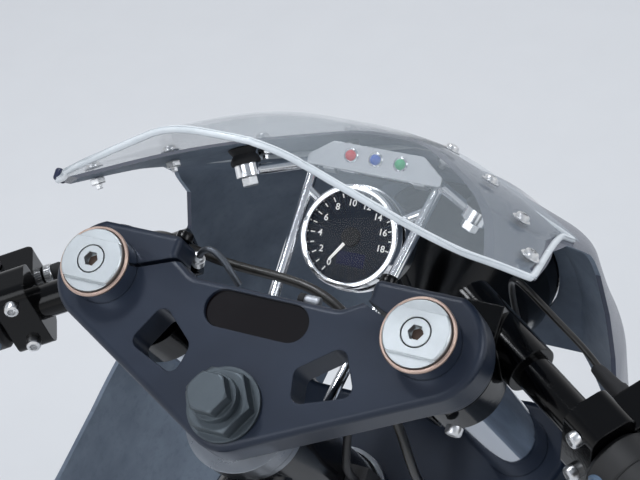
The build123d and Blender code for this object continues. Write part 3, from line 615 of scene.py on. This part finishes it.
corner_blue = ink("corner_blue", tint(24, 34, 62), 0.3)
for name, corner in (("right", edge_points[0]), ("left", edge_points[-1])):
    trim = block("screen_corner_" + name, CORNER_SIZE)
    pick(trim, "EDGE", lambda edge: True)
    bpy.ops.mesh.bevel(offset=CORNER_ROUND, segments=4, affect="EDGES")
    leave()
    place = Matrix.Translation(corner + Vector((0, 0.0030, 0.0010))) @ Matrix.Rotation(CORNER_LEAN, 4, "X")
    seat(trim, place, "frame_head", corner_blue)

# Headlamp: a pressed steel bowl painted black, a chromed rim that holds the lens in it, and
# the lens of pressed glass with upright flutes.
FLUTE_PITCH = 0.006
CROSS_PITCH = 0.034


def chrome(name, colour=(0.86, 0.87, 0.89), rough=0.045):
    """Plated steel with faint pitting."""
    finish = Finish(name)
    pits = finish.noise(260, 5, 0.65)
    haze = finish.noise(40, 3)
    base = finish.blend(pits.above(0.72, 0.1) * 0.5, colour, tint(120, 112, 100))
    dull = rough + 0.07 * haze.above(0.5, 0.5) + 0.2 * pits.above(0.72, 0.1)
    shader = finish.shader(Base_Color=base, Metallic=1.0, Roughness=dull,
                           Normal=finish.bump(haze, 0.0001, 0.1, finish.rounded_edges(0.0008)))
    return finish.finish(shader)


def lamp_glass(name):
    """Pressed glass over a bright bowl: upright flutes crossed by a few bars."""
    finish = Finish(name)
    flutes = (finish.along((1, 0, 0)) * (2 * pi / FLUTE_PITCH)).sine().size()
    crossed = (finish.along((0, 0, 1)) * (2 * pi / CROSS_PITCH)).sine().above(0.92, 0.05)
    shader = finish.shader(Base_Color=finish.blend(flutes, tint(206, 214, 220), tint(238, 242, 245)),
                           Roughness=0.06, Metallic=0.55, Alpha=0.86 + 0.14 * finish.gloss(0.3),
                           Normal=finish.bump(flutes + crossed, 0.0012, 0.8))
    return finish.finish(shader)


lamp_chrome = chrome("lamp_chrome")
coat("headlamp_rim", lamp_chrome)
coat("headlamp_bowl", gloss_paint("lamp_shell", tint(20, 20, 22)))
coat("headlamp_lens", lamp_glass("lamp_glass"))

# Stay for the fairing and the instruments: steel rods, bent, welded into one frame and
# chrome plated.
coat("fairing_stay", chrome("stay_chrome", rough=0.07))

# Tachometer: chromed bezel over a black case, navy dial with white figures and a small
# display window, flat glass. The needle is pressed on to a dark hub.
DIAL_FACE = -0.00496
DIAL_TOP = 18
SWEEP_START = radians(238)
SWEEP = radians(248)
INNER_DIAL = 0.0165
RING_PITCH = 0.0016
FIGURES_AT = 0.0211
FIGURE_SIZE = 0.0058
INK_THICK = 0.00008
TICKS_TO = 0.0276
TICK_WIDE = 0.00062
NEEDLE = [(0.0050, 0.0010), (0.0060, 0.0011), (0.0195, 0.0008), (0.0200, 0.0003)]
NEEDLE_LEVEL = -0.0036
HUB = [(-0.0049, 0.0060), (-0.0034, 0.0060), (-0.0028, 0.0055), (-0.0027, 0.0012), (-0.0024, 0.0009)]
DISPLAY_SIZE = (0.0185, 0.0086, 0.0006)
DISPLAY_AT = (0.0030, -0.0135, DIAL_FACE + 0.0003)
DISPLAY_FRAME = 0.0008


def dial_finish(name):
    """Fine sunray brushing under navy ink, with turned rings inside the figures."""
    finish = Finish(name)
    local = finish.from_point(TACH_AT)
    across_dial = finish.along((1, 0, 0), local)
    up_dial = finish.along(DIAL_UP, local)
    angle = finish.node("ShaderNodeMath", {"operation": "ARCTAN2"}, up_dial, across_dial)
    rays = (angle * 90).sine() + (angle * 61).sine()
    radius = (across_dial * across_dial + up_dial * up_dial).power(0.5)
    rings = (radius * (2 * pi / RING_PITCH)).sine()
    inner = 1 - radius.above(INNER_DIAL, 0.0008)
    base = finish.blend(rays.above(0.9, 0.8) * 0.6, tint(22, 32, 48), tint(52, 68, 92))
    base = finish.blend(inner * rings.above(0.2, 0.8) * 0.35, base, tint(34, 44, 62))
    shader = finish.shader(Base_Color=base, Roughness=0.46, Specular_IOR_Level=0.25,
                           Normal=finish.bump(rays, 0.0001, 0.25))
    return finish.finish(shader)


def thin_glass(name):
    """Clear flat glass with a little dust on it."""
    finish = Finish(name)
    dust = finish.noise(300, 4)
    shader = finish.shader(Base_Color=finish.blend(dust.above(0.7, 0.1), tint(20, 22, 26), tint(90, 94, 98)),
                           Roughness=0.02 + 0.05 * dust, Alpha=0.08 + 0.4 * finish.gloss(0.3))
    return finish.finish(shader)


def display_finish(name):
    """Dark blue display glass with idle segments that barely show, and a faint painted glow."""
    finish = Finish(name)
    local = finish.from_point(TACH_AT)
    columns = (finish.along((1, 0, 0), local) * (2 * pi / 0.0034)).sine().above(0.55, 0.2)
    rows = (finish.along(DIAL_UP, local) * (2 * pi / 0.0046)).sine().size().above(0.5, 0.2)
    base = finish.blend(columns * rows * 0.12, tint(12, 24, 66), tint(50, 66, 130))
    # The emission is a painted glow: the display is idle.
    shader = finish.shader(Base_Color=base, Roughness=0.3, Specular_IOR_Level=0.2,
                           Emission_Color=base, Emission_Strength=0.12)
    return finish.finish(shader)


def dial_angle(reading):
    return SWEEP_START - SWEEP * reading / DIAL_TOP


coat("tachometer_case", gloss_paint("tach_case", tint(20, 20, 22), 0.12))
coat("tachometer_bezel", chrome("bezel_chrome", rough=0.03))
coat("tachometer_dial", dial_finish("tach_dial"))
coat("tachometer_glass", thin_glass("tach_glass"))
marks = []
for reading in range(0, DIAL_TOP + 1, 2):
    angle = dial_angle(reading)
    bpy.ops.object.select_all(action="DESELECT")
    bpy.ops.object.text_add()
    figure = bpy.context.active_object
    figure.data.body = str(reading)
    figure.data.size = FIGURE_SIZE
    figure.data.align_x = "CENTER"
    figure.data.align_y = "CENTER"
    figure.data.extrude = INK_THICK
    figure.data.offset = INK_THICK
    bpy.ops.object.convert(target="MESH")
    spot = (FIGURES_AT * cos(angle), FIGURES_AT * sin(angle), DIAL_FACE + 0.00014)
    figure.data.transform(Matrix.Translation(spot))
    marks.append(figure)
for reading in range(DIAL_TOP + 1):
    long = 0.0030 if reading % 2 == 0 else 0.0026
    tick = block("tick", (long, TICK_WIDE, 0.0002))
    pick(tick, "FACE", lambda face: face.normal.x > 0.9)
    bpy.ops.transform.resize(value=(1, 1.25, 1))
    leave()
    outwards = Matrix.Translation((TICKS_TO - long / 2, 0, DIAL_FACE + 0.0001))
    tick.data.transform(Matrix.Rotation(dial_angle(reading), 4, "Z") @ outwards)
    marks.append(tick)
only(marks[0])
for mark in marks:
    mark.select_set(True)
bpy.ops.object.join()
figures = bpy.context.active_object
figures.name = "dial_figures"
# The white figures are given a faint painted glow.
white_ink_painted_glow = ink("dial_white_painted_glow", tint(238, 240, 240), painted_glow=0.4)
seat(figures, tach, "frame_head", white_ink_painted_glow)

needle = turned("dial_needle", NEEDLE, 12)
idle = Matrix.Rotation(dial_angle(0.15), 4, "Z") @ Matrix.Rotation(radians(90), 4, "Y")
flattened = Matrix.Translation((0, 0, NEEDLE_LEVEL)) @ Matrix.Diagonal((1, 1, 0.5, 1))
# The needle is given a painted glow, so that it reads whiter.
needle_white_painted_glow = ink("needle_white_painted_glow", tint(248, 248, 246), 0.3, 0.7)
seat(needle, tach @ flattened @ idle, "frame_head", needle_white_painted_glow)
hub_dark = ink("hub_dark", tint(20, 25, 34), 0.45)
seat(turned("needle_hub", HUB), tach, "frame_head", hub_dark)

display = block("dial_display", DISPLAY_SIZE)
pick(display, "FACE", lambda face: face.normal.z > 0.9)
bpy.ops.mesh.inset(thickness=DISPLAY_FRAME)
bpy.ops.mesh.extrude_region_move(TRANSFORM_OT_translate={"value": (0, 0, -0.0003)})
leave()
window = tach @ Matrix.Translation(DISPLAY_AT)
seat(display, window, "frame_head", display_finish("display_blue"))

# Warning lamp panel: an aluminium plate, bent and brushed satin, with three moulded jewel
# lamps pushed through it, each in a chromed rim.
PANEL_TILT = radians(52)
PANEL_UP = Vector((0, sin(PANEL_TILT), cos(PANEL_TILT)))
PANEL_OUT = Vector((0, -cos(PANEL_TILT), sin(PANEL_TILT)))
PANEL_AT = CAPS + Vector((0, 0.163, -0.047)) + PANEL_OUT * 0.005 + PANEL_UP * 0.00595
JEWEL_PITCH = 0.017
JEWEL_UP = 0.001
JEWEL_RIM = [(0.002, 0.0036), (0.002, 0.0049), (0.0028, 0.0049), (0.0033, 0.0044), (0.0033, 0.0036)]
JEWELS = {"red": tint(176, 20, 24), "blue": tint(16, 70, 160), "green": tint(22, 146, 88)}


def jewel(name, colour):
    """Moulded lens with a ring of facets round its crown."""
    finish = Finish(name)
    facets = finish.noise(700, 1)
    base = finish.blend(facets.above(0.5, 0.4), colour, shade(colour, 1.5, 0.02))
    shader = finish.shader(Base_Color=base, Roughness=0.12, Coat_Weight=0.3, Emission_Color=base,
                           Emission_Strength=0.2, Normal=finish.bump(facets, 0.0003, 0.5))
    return finish.finish(shader)


coat("warning_panel", machined("panel_alloy", tint(206, 208, 211), 0.30, 380, (0, 0.6, 0.8), 0.0008))
panel = placed(PANEL_AT, (1, 0, 0), PANEL_UP, PANEL_OUT)
for index, (name, colour) in enumerate(JEWELS.items()):
    coat("warning_lamp_" + name, jewel("lamp_" + name, colour))
    hole = panel @ Matrix.Translation(((index - 1) * JEWEL_PITCH, JEWEL_UP, 0))
    seat(ring("jewel_rim_" + name, JEWEL_RIM, 32), hole, "frame_head", lamp_chrome)

# Rubber mounts: waisted bobbins moulded on steel studs, between the stay's eyes and the
# fairing. A nut behind each eye holds the stud.
EYE_SIDE = 0.078
EYE_FROM_CAPS = Vector((0, 0.137, -0.041))
BOBBIN = [(0.0042, 0.0094), (0.0060, 0.0098), (0.0080, 0.0090), (0.0105, 0.0074), (0.0130, 0.0090),
          (0.0145, 0.0097), (0.0150, 0.0088)]
MOUNT_NUT = [(-0.0100, 0.0050), (-0.0095, 0.0056), (-0.0046, 0.0056), (-0.0040, 0.0052)]


def rubber(name, colour):
    """Moulded rubber, greying where it is rubbed."""
    finish = Finish(name)
    grain = finish.noise(1200, 3)
    bloom = finish.noise(50, 5, 0.6)
    base = finish.blend(bloom.above(0.55, 0.3) * 0.6, colour, shade(colour, 1.8, 0.008))
    shader = finish.shader(Base_Color=base, Roughness=0.62 + 0.2 * bloom,
                           Normal=finish.bump(grain, 0.0002, 0.35))
    return finish.finish(shader)


black_rubber = rubber("mount_rubber", tint(27, 27, 29))
for name, side in SIDES.items():
    eye = CAPS + EYE_FROM_CAPS + Vector((side * EYE_SIDE, 0, 0))
    stud = aimed(eye, (side * 0.40, 0.57, 0.71))
    bobbin = turned("bobbin_" + name, BOBBIN)
    seat(bobbin, stud, "frame_head", black_rubber, 60)
    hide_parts("rubber_mount_" + name)
    nut = turned("mount_nut_" + name, MOUNT_NUT, 6)
    seat(nut, stud, "frame_head", bright_steel, 20)

# Fork legs: hard chromed steel tubes that run in cast alloy sliders, with a rubber dust
# seal pushed over the top of each slider.
DUST_SEAL = [(-0.4298, 0.0209), (-0.4298, 0.0262), (-0.4270, 0.0268), (-0.4235, 0.0255),
             (-0.4190, 0.0232), (-0.4180, 0.0214)]
# Chrome, whose darker, bluish colour is painted shade and a painted blue reflection.
fork_chrome = chrome("fork_chrome", (0.54, 0.58, 0.64), 0.035)
slider_alloy = machined("slider_alloy", tint(172, 175, 180), 0.34, 260, AXIS, 0.0015, 0.16)
legs = {}
for name, side in SIDES.items():
    coat("stanchion_" + name, fork_chrome)
    coat("fork_slider_" + name, slider_alloy)
    legs[side] = steering @ Matrix.Translation((side * FORK_HALF, FORK_OFFSET, 0))
    seat(ring("dust_seal_" + name, DUST_SEAL, 56), legs[side], "fork", black_rubber, 50)

# Yokes: top and bottom, cast alloy sprayed satin slate blue, clamped round the fork legs by
# black screws. The top one carries a cable guide and the stub of a vent pipe.
PINCH_SIDE = 0.066
GUIDE = [(0, 0.0028), (0.0004, 0.0032), (0.0040, 0.0032), (0.0042, 0.0028), (0.0048, 0.0028),
         (0.0050, 0.0034), (0.0128, 0.0034), (0.0134, 0.0028)]
GUIDE_SLEEVE = [(0.0003, 0.0033), (0.0008, 0.0037), (0.0036, 0.0037), (0.0041, 0.0033), (0.0041, 0.0031)]
PIPE = [(-0.0640, 0.0850, -0.0330), (-0.0605, 0.0875, -0.0240), (-0.0560, 0.0910, -0.0200),
        (-0.0506, 0.0914, -0.0195), (-0.0433, 0.0879, -0.0215), (-0.0370, 0.0820, -0.0250),
        (-0.0320, 0.0770, -0.0310)]
PIPE_THICK = 0.0042
FERRULE = [(0, 0.0030), (0.0004, 0.0040), (0.0058, 0.0041), (0.0062, 0.0034), (0.0092, 0.0033),
           (0.0096, 0.0026)]


def satin_paint(name, colour, lighter):
    """Satin coat: soft clouding, fine grain and edges rounded so that light catches them."""
    finish = Finish(name)
    cloud = finish.noise(14, 5, 0.6)
    grain = finish.noise(1400, 2)
    base = finish.blend(cloud.above(0.5, 0.6), colour, lighter)
    shader = finish.shader(Base_Color=base, Metallic=0.25, Roughness=0.36 + 0.12 * cloud,
                           Coat_Weight=0.15, Coat_Roughness=0.25, Specular_IOR_Level=0.4,
                           Normal=finish.bump(grain, 0.0001, 0.2, finish.rounded_edges(0.0014)))
    return finish.finish(shader)


yoke_blue = satin_paint("yoke_paint", tint(24, 32, 46), tint(36, 46, 62))
coat("top_yoke", yoke_blue)
coat("bottom_yoke", yoke_blue)
coat("yoke_lens", gloss_paint("lens_inlay", tint(16, 9, 11), 0.05, lacquer=0.2))
bar_black = gloss_paint("bar_black", tint(7, 7, 9), 0.08, dust=0.12, lacquer=0.0, shine=0.24)
for name, side in SIDES.items():
    pinch = cap_screw("yoke_pinch_screw_" + name, 0.0052, 0.0058)
    ear = Matrix.Translation((side * PINCH_SIDE, 0.0905, -0.0105)) @ Matrix.Rotation(radians(-90), 4, "X")
    seat(pinch, steering @ ear, "fork", bar_black)
front_edge = Matrix.Translation((0.0165, 0.0722, -0.0120)) @ Matrix.Rotation(radians(90), 4, "Y")
guide = turned("cable_guide", GUIDE, 32)
seat(guide, steering @ front_edge, "fork", slider_alloy, 40)
sleeve = ring("cable_guide_sleeve", GUIDE_SLEEVE, 32)
seat(sleeve, steering @ front_edge, "fork", black_rubber, 40)
pipe = as_mesh(cable_line("vent_pipe", from_yoke(PIPE), PIPE_THICK))
pipe_grey = machined("pipe_grey", tint(96, 100, 106), 0.38, 200, AXIS)
seat(pipe, Matrix.Identity(4), "fork", pipe_grey, 50)
ferrule = turned("vent_pipe_ferrule", FERRULE, 32)
pipe_end = aimed(PIPE[0], Vector(PIPE[1]) - Vector(PIPE[0]))
seat(ferrule, steering @ pipe_end, "fork", bright_steel, 40)

# Steering stem with its nut and bolt: turned steel, left bare and gone dull. The nut draws
# the top yoke down on to the stem.
stem_steel = machined("stem_steel", tint(92, 99, 104), 0.33, 600, AXIS, 0.0014, 0.15)
for node in ("steering_stem", "stem_nut", "stem_bolt"):
    coat(node, stem_steel)

# Fork caps: turned aluminium, in a polished lip that has gone copper brown. The adjuster in the
# middle has a hexagon socket, rusty inside, and a black rubber ring in the groove round it that
# paints the groove's shade.
CAP_LIP = [(0.0136, 0.0200), (0.0136, 0.0210), (0.0142, 0.0216), (0.0158, 0.0217), (0.0166, 0.0211),
           (0.0166, 0.0200)]
CAP_GAP = [(0.0141, 0.0193), (0.0141, 0.0199), (0.0160, 0.0199), (0.0161, 0.0193)]
CAP_RECESS = [(0.0151, 0.0038), (0.0154, 0.0039), (0.0156, 0.0030), (0.0155, 0.0006)]
ADJUSTER_SHADE_RING = [(0.0174, 0.0081), (0.0192, 0.0081), (0.0195, 0.0083), (0.0195, 0.0086),
                 (0.0192, 0.0087), (0.0174, 0.0087)]
cap_silver = machined("cap_silver", tint(198, 203, 205), 0.3, 420, AXIS, 0.0008)
copper = machined("cap_lip", tint(204, 178, 164), 0.24, 300, AXIS, 0.0004)
rust = ink("cap_rust", tint(74, 56, 46), 0.6)
for name, side in SIDES.items():
    coat("fork_cap_" + name, cap_silver)
    seat(ring("cap_lip_" + name, CAP_LIP, 64), legs[side], "fork", copper)
    seat(ring("cap_gap_" + name, CAP_GAP, 64), legs[side], "fork", rust)
    # A black ring sunk in the groove round the adjuster: painted shade for the groove.
    shade_ring = ring("adjuster_seal_" + name, ADJUSTER_SHADE_RING, 48)
    seat(shade_ring, legs[side], "fork", black_rubber)
    seat(turned("cap_recess_" + name, CAP_RECESS, 6), legs[side], "fork", rust, 20)

# Clip-on handlebars: forged clamps and steel bars, gloss black, with moulded rubber grips
# pushed on to them and alloy weights in their ends.
GRIP_FROM = 0.158
GRIP_TO = 0.280
GRIP_BORE = 0.0140
GRIP_BODY = 0.0152
RIB_RADIUS = 0.0164
RIB_PITCH = 0.0058
grip_outline = [(GRIP_FROM, GRIP_BORE), (GRIP_FROM, 0.0212), (GRIP_FROM + 0.0035, 0.0214),
                (GRIP_FROM + 0.0055, 0.0170)]
rib = GRIP_FROM + 0.0085
while rib < GRIP_TO - 0.009:
    grip_outline += [(rib, GRIP_BODY), (rib + 0.0008, RIB_RADIUS), (rib + 0.0034, RIB_RADIUS),
                     (rib + 0.0042, GRIP_BODY)]
    rib += RIB_PITCH
grip_outline += [(GRIP_TO - 0.005, GRIP_BODY), (GRIP_TO - 0.0035, 0.0165), (GRIP_TO - 0.001, 0.0162),
                 (GRIP_TO, GRIP_BORE)]
lever_alloy = machined("lever_alloy", tint(196, 199, 204), 0.22, 240, (1, 0, 0), 0.0012, 0.14)
for name, side in SIDES.items():
    coat("clip_on_" + name, bar_black)
    coat("handlebar_" + name, bar_black)
    coat("bar_end_" + name, lever_alloy)
    grip = turned("grip_rubber_" + name, grip_outline, 48)
    grip_black = rubber("grip_rubber_" + name, tint(24, 24, 25))
    seat(grip, bars[side], "fork", grip_black, 40)
    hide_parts("grip_" + name)
    web_screw = cap_screw("clamp_screw_" + name, 0.0050, 0.0055)
    web = Matrix.Translation((side * (FORK_HALF + 0.012), 0.030, 0.009 - BAR_DROP[side]))
    seat(web_screw, steering @ web @ Matrix.Rotation(radians(90), 4, "X"), "fork", bright_steel)

# Lever perches, painted black, with polished alloy levers, and the switch and throttle
# housings, moulded in nylon. Screws clamp them all round the bars.
PERCH_ALONG = 0.110
PERCH_SCREWS = {"upper": 0.0165, "lower": -0.0165}
PIVOT_UP = 0.0130
PIVOT_ALONG = 0.126
ADJUSTER = [(0.0003, 0.0050), (0.0003, 0.0064), (0.0010, 0.0068), (0.0052, 0.0068), (0.0058, 0.0064),
            (0.0058, 0.0050)]
ADJUSTER_SIDES = 48
BOOT = [(0.0060, 0.0052), (0.0064, 0.0060), (0.011, 0.0061), (0.013, 0.0051), (0.026, 0.0042)]
BOOT_MOUTH = {-1: 0.0038, 1: 0.0034}
BUTTON = [(-0.0030, 0.0066), (0.0006, 0.0070), (0.0013, 0.0062), (0.0013, 0.0052), (0.0044, 0.0050),
          (0.0052, 0.0038), (0.0054, 0.0010)]
BUTTON_BACK = 0.0198
BUTTON_ALONG = 0.134
SEAM = [(0.1405, 0.0208), (0.1405, 0.0214), (0.1411, 0.0216), (0.1417, 0.0214), (0.1417, 0.0208)]
BRASS_BAND = [(0.1246, 0.0208), (0.1246, 0.0219), (0.1252, 0.0223), (0.1268, 0.0223), (0.1274, 0.0219),
              (0.1274, 0.0208)]


def moulded(name, colour):
    """Moulded nylon: fine spark-eroded grain."""
    finish = Finish(name)
    grain = finish.noise(1600, 2)
    cloud = finish.noise(40, 4)
    shader = finish.shader(Base_Color=finish.blend(cloud, colour, shade(colour, 1.5, 0.004)),
                           Roughness=0.48 + 0.12 * cloud,
                           Normal=finish.bump(grain, 0.0003, 0.4, finish.rounded_edges(0.0015)))
    return finish.finish(shader)


def every_other(face):
    """Every second face round the rim of a cable adjuster's wheel."""
    steps = face.center.xy.angle_signed(Vector((1, 0)), 0) / (2 * pi / ADJUSTER_SIDES)
    return abs(face.normal.z) < 0.1 and face.area > 2e-6 and steps // 1 % 2


switch_black = moulded("switch_plastic", tint(14, 14, 16))
coat("clutch_perch", bar_black)
coat("brake_perch", bar_black)
coat("clutch_lever", lever_alloy)
coat("brake_lever", lever_alloy)
coat("switch_housing", switch_black)
coat("throttle_housing", switch_black)
for name, side in SIDES.items():
    rear = Matrix.Rotation(radians(-90 * side), 4, "X")
    for place, height in PERCH_SCREWS.items():
        screw = cap_screw("perch_screw_" + place + "_" + name, 0.0048, 0.0052)
        spot = Matrix.Translation((height, side * 0.0150, PERCH_ALONG))
        seat(screw, bars[side] @ spot @ rear, "fork", bright_steel)
    wheel = turned("cable_adjuster_" + name, ADJUSTER, ADJUSTER_SIDES)
    pick(wheel, "FACE", every_other)
    bpy.ops.mesh.inset(thickness=0.0001, use_individual=True)
    bpy.ops.transform.resize(value=(0.94, 0.94, 1), center_override=(0, 0, 0.003))
    leave()
    boot = turned("cable_boot_" + name, BOOT + [(0.031, BOOT_MOUTH[side])], 32)
    cable_start = Matrix.Translation((-EXIT_BELOW, -side * LEVER_BACK, EXIT_RUN[0]))
    inwards = bars[side] @ cable_start @ Matrix.Rotation(pi, 4, "X")
    seat(boot, inwards, "fork", black_rubber, 50)
    seat(wheel, inwards, "fork", bright_steel, 20)
    pivot = cap_screw("lever_pivot_screw_" + name, 0.0062, 0.0042)
    perch_top = Matrix.Translation((PIVOT_UP, -side * LEVER_BACK, PIVOT_ALONG))
    upwards = bars[side] @ perch_top @ Matrix.Rotation(radians(90), 4, "Y")
    seat(pivot, upwards, "fork", bright_steel)
button_blue = ink("button_blue", tint(86, 104, 124), 0.25)
for name, side, height in (("left_upper", -1, -0.004), ("right_upper", 1, 0.004)):
    rear = Matrix.Rotation(radians(-90 * side), 4, "X")
    spot = Matrix.Translation((height, side * BUTTON_BACK, BUTTON_ALONG))
    button = turned("switch_button_" + name, BUTTON)
    seat(button, bars[side] @ spot @ rear, "fork", button_blue, 40)
    seat(ring("housing_seam_" + name, SEAM, 72), bars[side], "fork", switch_black, 40)
brass = machined("brass_fitting", tint(205, 160, 84), 0.25, 300, (1, 0, 0), 0.0005)
band = ring("brass_band", BRASS_BAND, 72)
pick(band, "FACE", lambda face: face.center.x < 0.006)
bpy.ops.mesh.delete(type="FACE")
leave()
seat(band, bars[-1], "fork", brass, 40)

# Studio: a pale floor under the part, a pale surround, and four soft lamps, two of them
# side by side so that they draw double lines along the bars.
FLOOR_SIZE = 9
FLOOR_BELOW = 0.001
FADE_AT = 2.7
FADE_WIDE = 2.2
PALE = (0.90, 0.91, 0.93)
HIGH_SKY = (0.36, 0.39, 0.44)
SKY_LIGHT = (0.52, 0.54, 0.58)
LAMP_LIGHT = (0.93, 0.96, 1.0)
LAMPS_LOOK_AT = Vector((0, 0.15, 0))
LAMPS = [((-0.55, 0.75, 2.0), 0.32, 10), ((-0.85, 0.20, 2.1), 0.32, 10), ((1.5, 0.3, 1.3), 0.8, 9),
         ((-0.5, -1.5, 1.4), 1.2, 12)]


def seen_itself(finish):
    """1 where a ray from the camera, off metal or through glass meets it, 0 for other light."""
    share = 0.0
    for ray in ("Is Camera Ray", "Is Glossy Ray", "Is Transmission Ray"):
        met = finish.node("ShaderNodeLightPath", {}, output=ray)
        share = finish.node("ShaderNodeMath", {"operation": "MAXIMUM"}, share, met)
    return share


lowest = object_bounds()[0][2]
bpy.ops.mesh.primitive_plane_add(size=FLOOR_SIZE, location=(0, 0, lowest - FLOOR_BELOW))
floor = bpy.context.active_object
floor.name = "floor"
paper = Finish("studio_paper")
fleck = paper.noise(18, 3)
near = paper.shader(Base_Color=paper.blend(fleck, (0.74, 0.75, 0.76), (0.77, 0.78, 0.79)), Roughness=0.9)
far = paper.node("ShaderNodeEmission", {}, Color=(*PALE, 1), Strength=1.0)
reach = paper.node("ShaderNodeVectorMath", {"operation": "LENGTH"}, paper.place, output="Value")
fade = reach.above(FADE_AT, FADE_WIDE) * seen_itself(paper)
floor.data.materials.append(paper.finish(paper.node("ShaderNodeMixShader", {}, fade, near, far)))
world = bpy.data.worlds.new("studio")
bpy.context.scene.world = world
sky = Finish("sky", world)
way_out = sky.node("ShaderNodeTexCoord", {}, output="Generated")
height = sky.node("ShaderNodeSeparateXYZ", {}, way_out, output="Z")
sweep = sky.node("ShaderNodeValToRGB", {"stops": [(0.05, PALE), (0.75, HIGH_SKY)]}, height)
sky_colour = sky.blend(seen_itself(sky), SKY_LIGHT, sweep)
sky.finish(sky.node("ShaderNodeBackground", {}, Color=sky_colour, Strength=1.0))
for index, (spot, size, power) in enumerate(LAMPS):
    way = (LAMPS_LOOK_AT - Vector(spot)).normalized()
    turn = way.to_track_quat("-Z", "Y").to_euler()
    bpy.ops.object.light_add(type="AREA", location=spot, rotation=turn)
    lamp = bpy.context.active_object
    lamp.name = "studio_lamp_" + str(index + 1)
    lamp.data.size = size
    lamp.data.energy = power
    lamp.data.color = LAMP_LIGHT
bpy.context.scene.view_settings.view_transform = "Standard"
